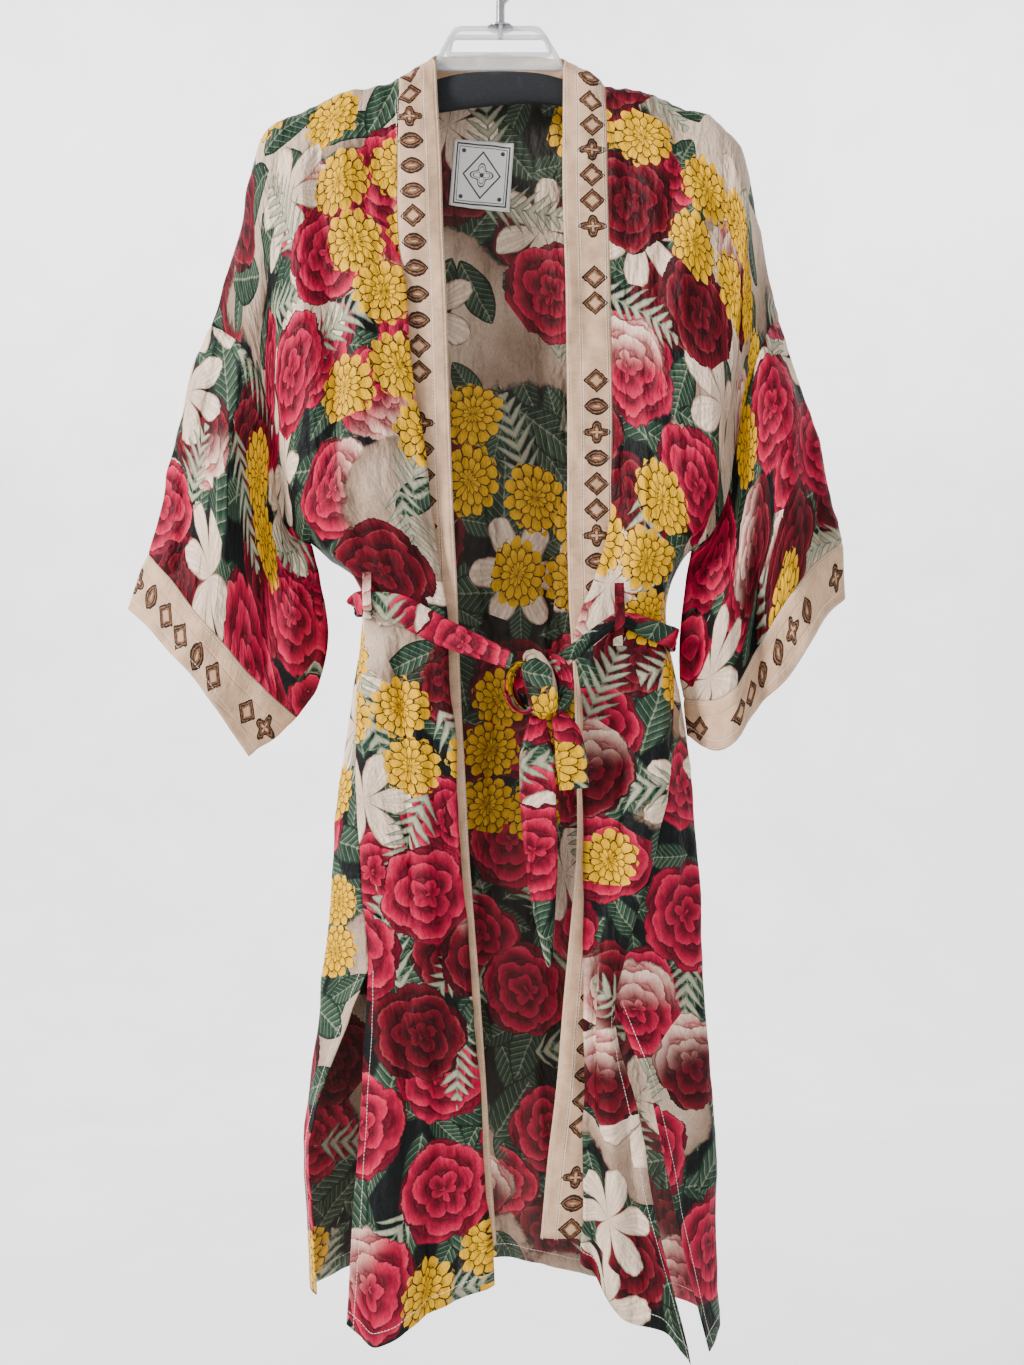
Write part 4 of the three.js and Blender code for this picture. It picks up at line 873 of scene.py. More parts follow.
class Value:
    """A number on a shader socket; sums on it add Math nodes."""

    def __init__(self, recipe, socket):
        self.recipe = recipe
        self.socket = socket

    def math(self, operation, *others):
        """Math node with this value first."""
        node = self.recipe.node("ShaderNodeMath", {"operation": operation},
                                dict(enumerate((self, *others))))
        return Value(self.recipe, node.outputs[0])

    def taken_from(self, other):
        """Reflected difference, with this value second."""
        node = self.recipe.node("ShaderNodeMath", {"operation": "SUBTRACT"}, {0: other, 1: self})
        return Value(self.recipe, node.outputs[0])

    __add__ = __radd__ = partialmethod(math, "ADD")
    __mul__ = __rmul__ = partialmethod(math, "MULTIPLY")
    __sub__ = partialmethod(math, "SUBTRACT")
    __rsub__ = taken_from
    __truediv__ = partialmethod(math, "DIVIDE")
    __pow__ = partialmethod(math, "POWER")
    sin = partialmethod(math, "SINE")
    cos = partialmethod(math, "COSINE")
    abs = partialmethod(math, "ABSOLUTE")
    fract = partialmethod(math, "FRACT")
    floor = partialmethod(math, "FLOOR")
    above = partialmethod(math, "GREATER_THAN")
    below = partialmethod(math, "LESS_THAN")
    larger = partialmethod(math, "MAXIMUM")
    smaller = partialmethod(math, "MINIMUM")

    def fade(self, low, high):
        """Smooth step from 0 at low to 1 at high; low may be the larger."""
        turned = low > high
        node = self.recipe.node(
            "ShaderNodeMapRange", {"interpolation_type": "SMOOTHSTEP"},
            {"Value": self, "From Min": min(low, high), "From Max": max(low, high),
             "To Min": float(turned), "To Max": float(not turned)})
        return Value(self.recipe, node.outputs["Result"])


class Recipe:
    """A material's node tree, built from expressions."""

    def __init__(self, name):
        self.material = bpy.data.materials.new(name)
        self.material.use_nodes = True
        self.tree = self.material.node_tree
        self.tree.nodes.clear()

    def node(self, kind, settings=None, sockets=None):
        """One node of the material; a socket may be given a Value."""
        plain = {name: value.socket if isinstance(value, Value) else value
                 for name, value in (sockets or {}).items()}
        return add_node(self.tree, kind, settings, plain)

    def value(self, socket):
        """Number on a socket."""
        return Value(self, socket)

    def mix(self, share, a, b):
        """Colour between two colours."""
        node = self.node("ShaderNodeMix", {"data_type": "RGBA"},
                         {MIX_SHARE: share, MIX_FIRST: a, MIX_SECOND: b})
        return node.outputs[MIX_RESULT]

    def ramp(self, value, stops):
        """Colour along a ramp."""
        return self.node("ShaderNodeValToRGB", {"stops": stops}, {"Fac": value}).outputs["Color"]

    def split(self, vector):
        """The three numbers of a vector."""
        node = self.node("ShaderNodeSeparateXYZ", None, {"Vector": vector})
        return [self.value(node.outputs[k]) for k in range(3)]

    def cloth_place(self):
        """Place on the cloth as cut, in metres, from the piece's own UV map."""
        return self.node("ShaderNodeUVMap").outputs[0]

    def mapped(self, vector, scale, turn=0.0, shift=(0, 0, 0)):
        """Place scaled, turned about its third axis and shifted."""
        return self.node("ShaderNodeMapping", None, {
            "Vector": vector, "Location": shift, "Rotation": (0, 0, turn), "Scale": scale}).outputs[0]

    def noise(self, vector, scale, detail=2.0, roughness=0.5, dimensions="3D"):
        """Cloudy noise about one half."""
        node = self.node("ShaderNodeTexNoise", {"noise_dimensions": dimensions},
                         {"Vector": vector, "Scale": scale, "Detail": detail,
                          "Roughness": roughness})
        return self.value(node.outputs[0])

    def finish(self, colour, roughness, height=None, strength=0.3, distance=0.0005, **fixed):
        """Principled surface; what is fixed is set straight on its sockets."""
        sockets = {name.replace("_", " "): number for name, number in fixed.items()}
        if height is not None:
            sockets["Normal"] = self.node("ShaderNodeBump", None, {
                "Height": height, "Strength": strength, "Distance": distance}).outputs[0]
        shader = self.node("ShaderNodeBsdfPrincipled", None,
                           {"Base Color": colour, "Roughness": roughness, **sockets})
        self.node("ShaderNodeOutputMaterial", None, {0: shader.outputs[0]})
        return self.material


class Motif:
    """One layer of scattered motifs: a polar place in the motif's cell and the cell's chances."""

    def __init__(self, recipe, uv, cell_mm, turn, shift, scatter=0.34):
        size = 1 / (cell_mm * MM)
        spot = recipe.mapped(uv, (size, size, size), turn, (shift, shift * 0.7, 0))
        cells = recipe.node(
            "ShaderNodeTexVoronoi", {"voronoi_dimensions": "2D", "feature": "F1"},
            {"Vector": spot, "Scale": 1.0, "Randomness": scatter})
        self.recipe = recipe
        self.centre = cells.outputs["Position"]
        away = recipe.node("ShaderNodeVectorMath", {"operation": "SUBTRACT"},
                           {0: spot, 1: self.centre}).outputs[0]
        self.chance = recipe.split(cells.outputs["Color"])
        self.x, self.y, _ = recipe.split(away)
        self.distance = recipe.value(cells.outputs["Distance"])

    def polar(self, radius, waver):
        """Distance from the centre in radii, wavering, and the turn round it from 0 to 1."""
        turn = self.y.math("ARCTAN2", self.x) / (2 * math.pi) + 0.5
        return self.distance / radius + waver, turn

    def turned(self, radius):
        """Place along and across the motif's own direction, in radii."""
        angle = self.chance[1] * (2 * math.pi)
        c, s = angle.cos() / radius, angle.sin() / radius
        return self.x * c + self.y * s, self.y * c - self.x * s

    def clustered(self, frequency, level):
        """1 where a slow pattern, read at the motif's centre, lies above a level."""
        return self.recipe.noise(self.centre, frequency, 0.0, 0.5, "2D").above(level)


def tints(dark, light, stops):
    """Ramp stops between two colours: each has its place, the light one's share and a strength."""
    return tuple(
        (place, tuple(min((a + (b - a) * share) * strength, 1) for a, b in zip(dark, light)))
        for place, share, strength in stops)


# The print's ramps: each one's dark dye, which the pale one lightens, and its stops
RAMPS = {
    "rose": ("rose", ((0, 0, 0.08), (0.3, 0, 0.42), (0.7, 0, 0.95), (0.92, 0.03, 1.2), (1, 0.2, 1.25))),
    "maroon": ("maroon", ((0, 0, 0.1), (0.35, 0, 0.45), (0.75, 0, 1), (0.94, 0.03, 1.5), (1, 0.14, 1.6))),
    "pale": ("rose", ((0, 0.1, 0.5), (0.25, 0.5, 0.85), (0.6, 0.85, 1), (1, 1, 1.08))),
    "mum": ("mum", ((0, 0, 0.01), (0.2, 0, 0.2), (0.42, 0, 0.75), (0.8, 0, 1), (1, 0, 1.03))),
    "lily": ("ornament", ((0, 0.1, 0.5), (0.25, 0.55, 0.9), (0.6, 0.85, 1), (1, 1, 1.1))),
    "leaf": ("leaf", ((0, 0, 0.14), (0.5, 0, 0.7), (0.85, 0.03, 1.2), (1, 0.16, 1.3))),
    "parchment": ("ornament", ((0, 0.1, 0.6), (0.3, 0.35, 0.8), (0.65, 0.6, 0.9), (1, 0.85, 0.95))),
    "sprig": ("leaf", ((0, 0, 0.6), (0.5, 0.08, 1.8), (0.85, 0.2, 1.9), (1, 0.42, 1.1))),
}
# Colours of the roses' outlines, of the thin hatching over the print and of worn cloth
ROSE_OUTLINE = (0.012, 0.002, 0.004)
HATCHING = (0.01, 0.006, 0.006)
WORN = (0.6, 0.5, 0.42)
MUM_PETALS = 13
# Layers of leaves: cell in millimetres, turn and shift of its cells, and the share bare on parchment
LEAF_LAYERS = ((62, 0.3, 3.1, 0.5), (50, 1.1, 7.7, 0.8), (74, 2.0, 1.9, 0.6))


def rose(motif, radius, waver, ramps, pale_level, maroon_level):
    """Lapping rings of petals: colour and mask."""
    recipe = motif.recipe
    reach, turn = motif.polar(radius, waver)
    angle = turn * (2 * math.pi)
    coil = reach * 3.4 + 0.32 * (angle + motif.chance[0] * 6).sin() + 0.12 * (angle * 3).sin()
    side = ((turn * 5 + coil.floor() * 0.38 + motif.chance[1]).fract() * 2 - 1).abs()
    lip = coil + 0.42 * side * side
    petal = lip.fract()
    notch = 0.62 + 0.38 * side.fade(1.0, 0.72)
    tone = petal * notch * (0.66 + 0.34 * reach.smaller(1))
    along, _ = motif.turned(radius)
    blush = along.fade(-0.1, 0.85) * motif.chance[2].above(pale_level)
    colour = recipe.mix(motif.chance[0].below(maroon_level), recipe.ramp(tone, ramps["rose"]),
                        recipe.ramp(tone, ramps["maroon"]))
    colour = recipe.mix(blush, colour, recipe.ramp(tone, ramps["pale"]))
    lobes = (angle * 2.5 + motif.chance[1] * 9).cos().abs() ** 0.6
    edge = 0.86 + 0.14 * lobes
    line = petal.fade(0.94, 1.0) * 0.55
    line = line.larger((edge - reach).fade(0.045, 0.0) * 0.85)
    colour = recipe.mix(line, colour, ROSE_OUTLINE)
    return colour, reach.below(edge)


def mum(motif, radius, waver, ramps):
    """Rings of long rounded petals that lap outwards, each with a thin outline: colour and mask."""
    recipe = motif.recipe
    reach, turn = motif.polar(radius, waver)
    angle = turn * (2 * math.pi)
    rings = reach * 3.1 + 0.3 * (angle * 2 + motif.chance[1] * 6).sin()
    place_round = (turn * MUM_PETALS + rings.floor() * 0.42 + motif.chance[0]).fract()
    side = (place_round * 2 - 1).abs()
    scallop = rings.fract() + 0.4 * side * side
    petal = scallop.below(1)
    line = (scallop - 1).abs().fade(0.02, 0.13) * (1 - petal * side.fade(0.8, 0.95))
    tone = petal * (0.5 + 0.5 * rings.fract().fade(0.0, 0.7)) + (1 - petal) * 0.4
    shade = line * tone * (0.8 + 0.2 * (1 - side)) * (0.7 + 0.3 * reach.fade(0.1, 0.35))
    edge = 1 - 0.2 * side * side
    return recipe.ramp(shade, ramps["mum"]), reach.below(edge)


def lily(motif, radius, waver, ramps):
    """Six pointed petals: colour and mask."""
    recipe = motif.recipe
    reach, turn = motif.polar(radius, waver)
    side = ((turn * 6 + motif.chance[0] * 6).fract() * 2 - 1).abs()
    room = (1 - reach * reach).larger(0) ** 0.55
    inside = room * 1.04 - side
    vein = side.fade(0.0, 0.12)
    shade = (0.45 + 0.55 * reach.smaller(1)) * inside.fade(-0.02, 0.2) * (0.72 + 0.28 * vein)
    shade = shade * (0.8 + 0.2 * (side * 24 + reach * 3).sin())
    return recipe.ramp(shade, ramps["lily"]), inside.above(0)


def leaf(motif, radius, waver, ramps):
    """Veined pointed leaf: colour and mask."""
    along, across = motif.turned(radius)
    across = across + waver * 0.3
    side = across.abs()
    room = 0.44 * (1 - along * along).larger(0) ** 0.8 - side
    ribs = ((along + side * 0.9) * 5.5).fract()
    vein = ribs.fade(0.86, 0.97).larger(side.fade(0.035, 0.01))
    shade = (0.3 + 0.42 * ribs) * room.fade(0.0, 0.09) * (0.8 + 0.4 * across.above(0)) + 0.5 * vein
    return motif.recipe.ramp(shade, ramps["leaf"]), room.above(0)


def sprig(motif, radius, waver, ramps):
    """Stem with pairs of narrow leaflets: colour and mask."""
    along, across = motif.turned(radius)
    along = along + waver * 0.4
    side = across.abs()
    reach = side / ((1 - along * along).larger(0.001) ** 0.5 * 0.5)
    beat = ((along - side * 0.9) * 4).fract() - 0.5
    leaflet = 0.36 * (1 - reach * reach) - beat.abs()
    mask = (leaflet.above(0) * reach.below(1)).larger(side.below(0.022) * along.abs().below(0.96))
    shade = 0.3 + leaflet.fade(0.0, 0.22) * 0.5 + beat.above(0) * 0.15
    return motif.recipe.ramp(shade, ramps["sprig"]), mask


def printed_finish(name, dyes, fading):
    """Flower print on dark cloth; fading is the share of pale cloth that shows through."""
    recipe = Recipe(name)
    ramps = {ramp: tints(dyes[dark], dyes["pale"], stops) for ramp, (dark, stops) in RAMPS.items()}
    uv = recipe.cloth_place()
    rough_hand = recipe.noise(uv, 70, 3.0, 0.6, "2D")
    waver = (rough_hand - 0.5) * 0.2
    colour = recipe.mix(rough_hand, dyes["ground"], tuple(c * 2.2 for c in dyes["ground"]))
    cloud = recipe.noise(uv, 4.4, 2.0, 0.4, "2D")
    parchment = (cloud + waver * 0.2).fade(0.6, 0.62)
    shade = cloud.fade(0.58, 0.76) * 0.7 + rough_hand * 0.3
    colour = recipe.mix(parchment, colour, recipe.ramp(shade, ramps["parchment"]))
    for cell_mm, turn, shift, share in LEAF_LAYERS:
        motif = Motif(recipe, uv, cell_mm, turn, shift)
        painted, mask = leaf(motif, 0.56, waver, ramps)
        bare = (parchment * motif.chance[2].below(share)).larger(motif.chance[0].below(0.24))
        colour = recipe.mix(mask * (1 - bare), colour, painted)
    under = Motif(recipe, uv, 88, 0.7, 5.3)
    lilies = Motif(recipe, uv, 96, 1.7, 2.6)
    sprigs = Motif(recipe, uv, 90, 2.7, 6.1)
    over = Motif(recipe, uv, 101, 2.3, 4.2)
    mums = Motif(recipe, uv, 57, 0.15, 8.4, 0.28)
    for (painted, mask), shown in (
            (rose(under, 0.5, waver, ramps, 0.8, 0.6), under.chance[1].above(0.42) * (1 - parchment)),
            (lily(lilies, 0.52, waver, ramps), lilies.chance[2].above(0.66)),
            (sprig(sprigs, 0.5, waver, ramps), sprigs.chance[2].above(0.5)),
            (rose(over, 0.47, waver, ramps, 0.72, 0.28), over.chance[1].above(0.47)),
            (mum(mums, 0.52, waver * 1.5, ramps), mums.clustered(0.36, 0.652))):
        colour = recipe.mix(mask * shown, colour, painted)
    hatch = recipe.noise(recipe.mapped(uv, (1500, 260, 1), 0.7), 1.0, 2.0, 0.6, "2D").fade(0.42, 0.62)
    colour = recipe.mix(hatch * 0.24, colour, HATCHING)
    if fading:
        colour = recipe.mix(fading, colour, WORN)
    height = recipe.noise(recipe.mapped(uv, (34, 11, 1)), 1.0, 3.0, 0.55, "2D")
    height = height + 0.22 * recipe.noise(recipe.mapped(uv, (150, 90, 1), 0.4), 1.0, 3.0, 0.6, "2D")
    rough = 0.52 + 0.12 * rough_hand
    return recipe.finish(colour, rough, height, 0.9, 0.011, Specular_IOR_Level=0.12)


# Millimetres: the pitch and half height of a band's figures, the middle of their row from the free
# edge of a front band and of a cuff, and the lines of a band's seams from its free edge
ORNAMENT_PITCH = 24.0
ORNAMENT_REACH = 13.0
BAND_ROW = 27.5
CUFF_ROW = 27.0
BAND_SEAMS = (2.8, 14.6, 39.8)
ORNAMENT_OUTLINE = (0.005, 0.004, 0.0035)


def ornament(recipe, x, y, chance):
    """Row of figures, one to a pitch: how far a place is inside its figure, and its heart."""
    side, up = x.abs(), y.abs()
    lozenge = 1.1 - side * 1.14 - up * 1.02
    leaf_shape = 0.7 * (1 - x * x * 1.1) - up * 0.92
    reach = (x * x + y * y) ** 0.5
    turn = y.math("ARCTAN2", x)
    flower = 0.8 + 0.22 * (turn * 4).cos() - reach
    second, third = chance.above(0.36), chance.above(0.7)
    inside = lozenge * (1 - second) + leaf_shape * second * (1 - third) + flower * third
    heart = inside.above(0.62)
    return inside, heart


def band_finish(name, dyes, inset, printed=True):
    """Beige band with a printed row of lozenges, leaves and small flowers."""
    recipe = Recipe(name)
    uv = recipe.cloth_place()
    u, v, _ = recipe.split(uv)
    stain = recipe.noise(uv, 55, 4.0, 0.65, "2D")
    band = dyes["band"]
    colour = recipe.mix(stain.fade(0.25, 0.75), tuple(c * 0.84 for c in band),
                        tuple(min(c * 1.12, 1) for c in band))
    if printed:
        waver = (recipe.noise(uv, 260, 2.0, 0.6, "2D") - 0.5) * 0.16
        x = (u / MM - inset) / ORNAMENT_REACH + waver
        along = v / (MM * ORNAMENT_PITCH) + 40
        chance = recipe.value(recipe.node(
            "ShaderNodeTexWhiteNoise", {"noise_dimensions": "1D"}, {"W": along.floor()}).outputs[0])
        y = (along.fract() - 0.5) * 2.25 + waver
        inside, heart = ornament(recipe, x, y, chance)
        filled = (chance * 7).fract().above(0.14) * inside.above(0)
        smudge = recipe.noise(uv, 330, 3.0, 0.65, "2D")
        brown = dyes["ornament"]
        fill = recipe.mix(smudge.fade(0.38, 0.62), tuple(c * 0.25 for c in brown),
                          tuple(min(c * 1.4, 1) for c in brown))
        ink = (inside - 0.09).abs().below(0.1).larger((inside - 0.36).abs().below(0.06))
        colour = recipe.mix(filled * 0.9, colour, fill)
        colour = recipe.mix(filled * heart * 0.75, colour, band)
        colour = recipe.mix(filled * ink * 0.92, colour, ORNAMENT_OUTLINE)
    height = recipe.noise(recipe.mapped(uv, (2300, 260, 1)), 1.0, 2.0, 0.6, "2D") * 0.3
    for seam in BAND_SEAMS:
        height = height - ((u / MM - seam).abs() / 1.6).fade(1.0, 0.0) * 0.7
    height = height + recipe.noise(recipe.mapped(uv, (60, 240, 1)), 1.0, 2.0, 0.5, "2D") * 1.2
    return recipe.finish(colour, 0.72, height, 0.6, 0.0013, Specular_IOR_Level=0.2)


def plain_finish(name, colour, roughness, scale, strength, **fixed):
    """Plain colour with a fine grain."""
    recipe = Recipe(name)
    spot = recipe.node("ShaderNodeTexCoord").outputs["Object"]
    grain = recipe.noise(spot, scale, 3.0, 0.6)
    tint = recipe.mix(grain, tuple(c * 0.8 for c in colour), colour)
    return recipe.finish(tint, roughness, grain if strength else None, strength, 0.0004, **fixed)


def foam_finish(name, colour):
    """Dull foam with open pores and a few lighter scuffs."""
    recipe = Recipe(name)
    spot = recipe.node("ShaderNodeTexCoord").outputs["Object"]
    pores = recipe.noise(spot, 900, 3.0, 0.7)
    scuffs = recipe.noise(spot, 38, 4.0, 0.7)
    tint = recipe.mix(pores.fade(0.3, 0.7), tuple(c * 0.55 for c in colour), colour)
    tint = recipe.mix(scuffs.fade(0.55, 0.75) * 0.35, tint, tuple(min(c * 2.6, 1) for c in colour))
    return recipe.finish(tint, 0.88, pores, 0.6, 0.0006, Specular_IOR_Level=0.25)


def clear_finish(name, colour, alpha):
    """Clear moulded plastic with painted shade: its colour darkens where it is seen along its faces, a
    painted reflection of dark surroundings.
    """
    recipe = Recipe(name)
    painted_edge_shade = recipe.value(recipe.node("ShaderNodeLayerWeight", None, {"Blend": 0.35}).outputs["Facing"])
    # Painted shade: the colour darkens towards a grazing view, standing in for reflected dark
    # surroundings
    tint = recipe.mix(painted_edge_shade ** 2.0, colour, tuple(c * 0.3 for c in colour))
    return recipe.finish(tint, 0.05, IOR=1.46, Alpha=alpha, Specular_IOR_Level=0.6)


# Half the label's width and height in millimetres, and the inks and whites of its weave
LABEL_HALF = (29, 32.5)
LABEL_INK = (0.012, 0.012, 0.014)
LABEL_WHITES = ((0.8, 0.79, 0.77), (0.93, 0.92, 0.9))


def label_finish(name):
    """White woven patch with a thin dark frame round a lozenge and a plain flower."""
    recipe = Recipe(name)
    uv = recipe.cloth_place()
    u, v, _ = recipe.split(uv)
    x, y = u / MM, v / MM
    wide, high = x.abs(), y.abs()
    edge = (wide / LABEL_HALF[0]).larger(high / LABEL_HALF[1])
    lines = (edge - 0.88).abs().below(0.026).larger((edge - 0.8).abs().below(0.012))
    lozenge = ((wide / 18 + high / 22) - 1).abs().below(0.055)
    reach = (x * x + y * y) ** 0.5
    turn = y.math("ARCTAN2", x)
    petals = 8.4 + 2.6 * (turn * 4).cos() - reach
    flower = petals.abs().below(0.75).larger(reach.below(2.2))
    flower = flower.larger((petals - 2.8).abs().below(0.5))
    dots = ((wide - 19) * (wide - 19) + (high - 22) * (high - 22)).below(4.5)
    ink = lines.larger(lozenge).larger(flower).larger(dots)
    weave = recipe.noise(uv, 1500, 1.0, 0.5, "2D")
    colour = recipe.mix(ink * 0.94, recipe.mix(weave, *LABEL_WHITES), LABEL_INK)
    return recipe.finish(colour, 0.55, weave, 0.3, 0.0002, Specular_IOR_Level=0.3)


# Colours of the hanger's foam, clear frame, rims and steel, and of the backdrop; the rims' greyer colour
# is painted shade for the dark lines along the clear frame's edges
FOAM = (0.02, 0.022, 0.025)
CLEAR = (0.85, 0.87, 0.88)
# Greyer rim colour: painted shade, standing in for the dark surroundings seen in the frame's clear edges
CLEAR_RIM_SHADE = (0.6, 0.63, 0.66)
STEEL = (0.5, 0.51, 0.53)
BACKDROP = (0.92, 0.92, 0.92)


def make_materials(dyes):
    """All finishes, by name."""
    return {
        "printed_cloth": printed_finish("printed_cloth", dyes, 0.0),
        "printed_inside": printed_finish("printed_inside", dyes, 0.04),
        "band_cloth": band_finish("band_cloth", dyes, BAND_ROW),
        "band_inside": band_finish("band_inside", dyes, BAND_ROW, printed=False),
        "cuff_cloth": band_finish("cuff_cloth", dyes, CUFF_ROW),
        "label_cloth": label_finish("label_cloth"),
        "thread": plain_finish("thread", dyes["thread"], 0.6, 900, 0.0),
        "foam": foam_finish("foam", FOAM),
        "clear_plastic": clear_finish("clear_plastic", CLEAR, 0.22),
        "clear_rim": clear_finish("clear_rim", CLEAR_RIM_SHADE, 0.5),
        "hook_steel": plain_finish("hook_steel", STEEL, 0.2, 300, 0.1, Metallic=1.0),
        "backdrop": plain_finish("backdrop", BACKDROP, 0.9, 4, 0.0, Specular_IOR_Level=0.0),
    }


def loft(name, sections, materials, width, start=(0, 0)):
    """Closed solid through rings of points in millimetres, with end caps fanned to each end ring's
    middle.
    """
    sections = np.asarray(sections, float)
    rings, sides = sections.shape[:2]
    points = np.concatenate([sections.reshape(-1, 3), [sections[0].mean(0)], [sections[-1].mean(0)]])
    faces = grid_faces(rings, sides, closed_columns=True).tolist()
    first, last = rings * sides, rings * sides + 1
    end = (rings - 1) * sides
    for k in range(sides):
        faces.append([first, (k + 1) % sides, k])
        faces.append([last, end + k, end + (k + 1) % sides])
    lengths = np.linalg.norm(np.diff(sections.mean(1), axis=0), axis=1)
    along = np.concatenate([[0], np.cumsum(lengths)])
    around = np.linspace(0, 1, sides, endpoint=False)
    around = np.abs(around * 2 - 1)
    uv = np.stack(np.broadcast_arrays(around[None] * width, -along[:, None]), axis=-1).reshape(-1, 2)
    uv = np.concatenate([uv, [[width / 2, 0]], [[width / 2, -along[-1]]]]) * MM + np.array(start)
    obj = new_object(name, points * MM, faces, uv, materials)
    face_outwards(obj)
    return obj


def strap_sections(rows, pleats, depth, steps=5, sides=32, upright=False, twist=0.0):
    """Rings of a folded strap along its table, with lengthwise pleats."""
    count = (len(rows["x"]) - 1) * steps
    t = np.linspace(0, len(rows["x"]) - 1, count + 1)
    row = row_at(rows, t)
    path = place(1, row["x"], row["drop"], row["y"])
    shift = creases(path) * (0 if upright else 1)
    path[:, 1] -= shift * 0.6
    along = np.gradient(path, axis=0)
    along /= np.linalg.norm(along, axis=1, keepdims=True)
    reference = np.array([0, 0, 1.0] if upright else [0, 1.0, 0])
    across = np.cross(along, reference)
    across /= np.maximum(np.linalg.norm(across, axis=1, keepdims=True), 1e-6)
    out = np.cross(across, along)
    wide, deep = (out, across) if upright else (across, out)
    angle = np.linspace(0, 2 * np.pi, sides, endpoint=False)
    u = np.sign(np.cos(angle)) * np.abs(np.cos(angle)) ** 0.85
    v = np.sign(np.sin(angle)) * np.abs(np.sin(angle)) ** 0.7
    wander = 0.7 * np.sin(t * 1.9) + twist * t
    pleat = 1 - depth * (0.5 + 0.5 * np.cos(pleats * np.pi * u[None, :] + wander[:, None]))
    across_mm = u[None, :] * row["width"][:, None] / 2
    deep_mm = v[None, :] * row["thick"][:, None] / 2 * pleat
    roll = row["roll"][:, None] + 0.06 * np.sin(t * 1.3)[:, None]
    ru = across_mm * np.cos(roll) - deep_mm * np.sin(roll)
    rv = across_mm * np.sin(roll) + deep_mm * np.cos(roll)
    return path[:, None] + wide[:, None] * ru[..., None] + deep[:, None] * rv[..., None]


# Sides of a thread, how much the stitches vary in size, and their seed; radius and lift in millimetres
STITCH_SIDES = 5
STITCH_SIZES = (0.88, 1.08)
STITCH_SEED = 3
STITCH_RADIUS = 0.24
STITCH_LIFT = 0.1


def stitch_tree():
    """Geometry Nodes that lay thread stitches along the lines of a mesh."""
    tree = bpy.data.node_groups.new("thread_stitches", "GeometryNodeTree")
    for name, kind in (("Geometry", "Geometry"), ("Pitch", "Float"), ("Length", "Float"),
                       ("Radius", "Float"), ("Seed", "Int"), ("Thread", "Material")):
        tree.interface.new_socket(name, in_out="INPUT", socket_type="NodeSocket" + kind)
    tree.interface.new_socket("Geometry", in_out="OUTPUT", socket_type="NodeSocketGeometry")
    given = add_node(tree, "NodeGroupInput").outputs
    curve = add_node(tree, "GeometryNodeMeshToCurve", None, {"Mesh": given["Geometry"]})
    points = add_node(tree, "GeometryNodeResampleCurve", {"mode": "LENGTH"},
                      {"Curve": curve.outputs[0], "Length": given["Pitch"]})
    stitch = add_node(tree, "GeometryNodeMeshCylinder", {"fill_type": "TRIANGLE_FAN"}, {
        "Vertices": STITCH_SIDES, "Radius": given["Radius"], "Depth": given["Length"]})
    tangent = add_node(tree, "GeometryNodeInputTangent")
    turn = add_node(tree, "FunctionNodeAlignRotationToVector", {"axis": "Z"},
                    {"Vector": tangent.outputs[0]})
    size = add_node(tree, "FunctionNodeRandomValue", {"data_type": "FLOAT"},
                    {2: STITCH_SIZES[0], 3: STITCH_SIZES[1], "Seed": given["Seed"]})
    put = add_node(tree, "GeometryNodeInstanceOnPoints", None, {
        "Points": points.outputs[0], "Instance": stitch.outputs["Mesh"],
        "Rotation": turn.outputs[0], "Scale": size.outputs[1]})
    real = add_node(tree, "GeometryNodeRealizeInstances", None, {"Geometry": put.outputs[0]})
    paint = add_node(tree, "GeometryNodeSetMaterial", None,
                     {"Geometry": real.outputs[0], "Material": given["Thread"]})
    add_node(tree, "NodeGroupOutput", None, {0: paint.outputs[0]})
    return tree


def stitch_rows(name, lines, pitch, length):
    """Rows of stitches along lines of points in millimetres, as one plain mesh."""
    tree = bpy.data.node_groups.get("thread_stitches") or stitch_tree()
    points, edges = [], []
    for line in lines:
        start = len(points)
        points.extend(tuple(p * MM) for p in line)
        edges.extend((start + k, start + k + 1) for k in range(len(line) - 1))
    mesh = bpy.data.meshes.new(name)
    mesh.from_pydata(points, edges, [])
    source = linked(name + "_lines", mesh)
    modifier = source.modifiers.new("stitches", "NODES")
    modifier.node_group = tree
    values = {"Pitch": pitch, "Length": length, "Radius": STITCH_RADIUS * MM, "Seed": STITCH_SEED,
              "Thread": FINISHES["thread"]}
    for socket in tree.interface.items_tree:
        if socket.in_out == "INPUT" and socket.name in values:
            modifier[socket.identifier] = values[socket.name]
    depsgraph = bpy.context.evaluated_depsgraph_get()
    made = bpy.data.meshes.new_from_object(source.evaluated_get(depsgraph))
    made.name = name
    bpy.data.objects.remove(source)
    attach(linked(name, made), "root")


def inset_line(panel, edge, distance, part=slice(None), side=1):
    """Line on a panel's skin, a distance in millimetres in from its top, bottom, first or last edge."""
    skin = panel.skin(side, STITCH_LIFT)
    if edge in ("first", "last"):
        skin = skin.transpose(1, 0, 2)
    if edge in ("bottom", "last"):
        skin = skin[::-1]
    skin = skin[:, part]
    steps = np.linalg.norm(np.diff(skin, axis=0), axis=-1)
    reach = np.concatenate([np.zeros((1, skin.shape[1])), np.cumsum(steps, axis=0)])
    after = np.clip(np.argmax(reach >= distance, axis=0), 1, None)
    column = np.arange(skin.shape[1])
    low, high = reach[after - 1, column], reach[after, column]
    share = ((distance - low) / (high - low))[:, None]
    line = mix(skin[after - 1, column], skin[after, column], share)
    return np.concatenate([line, line[:1]]) if panel.closed else line


# What the operators have made so far, by name, for the operators that follow
PANELS = {}
FINISHES = {}


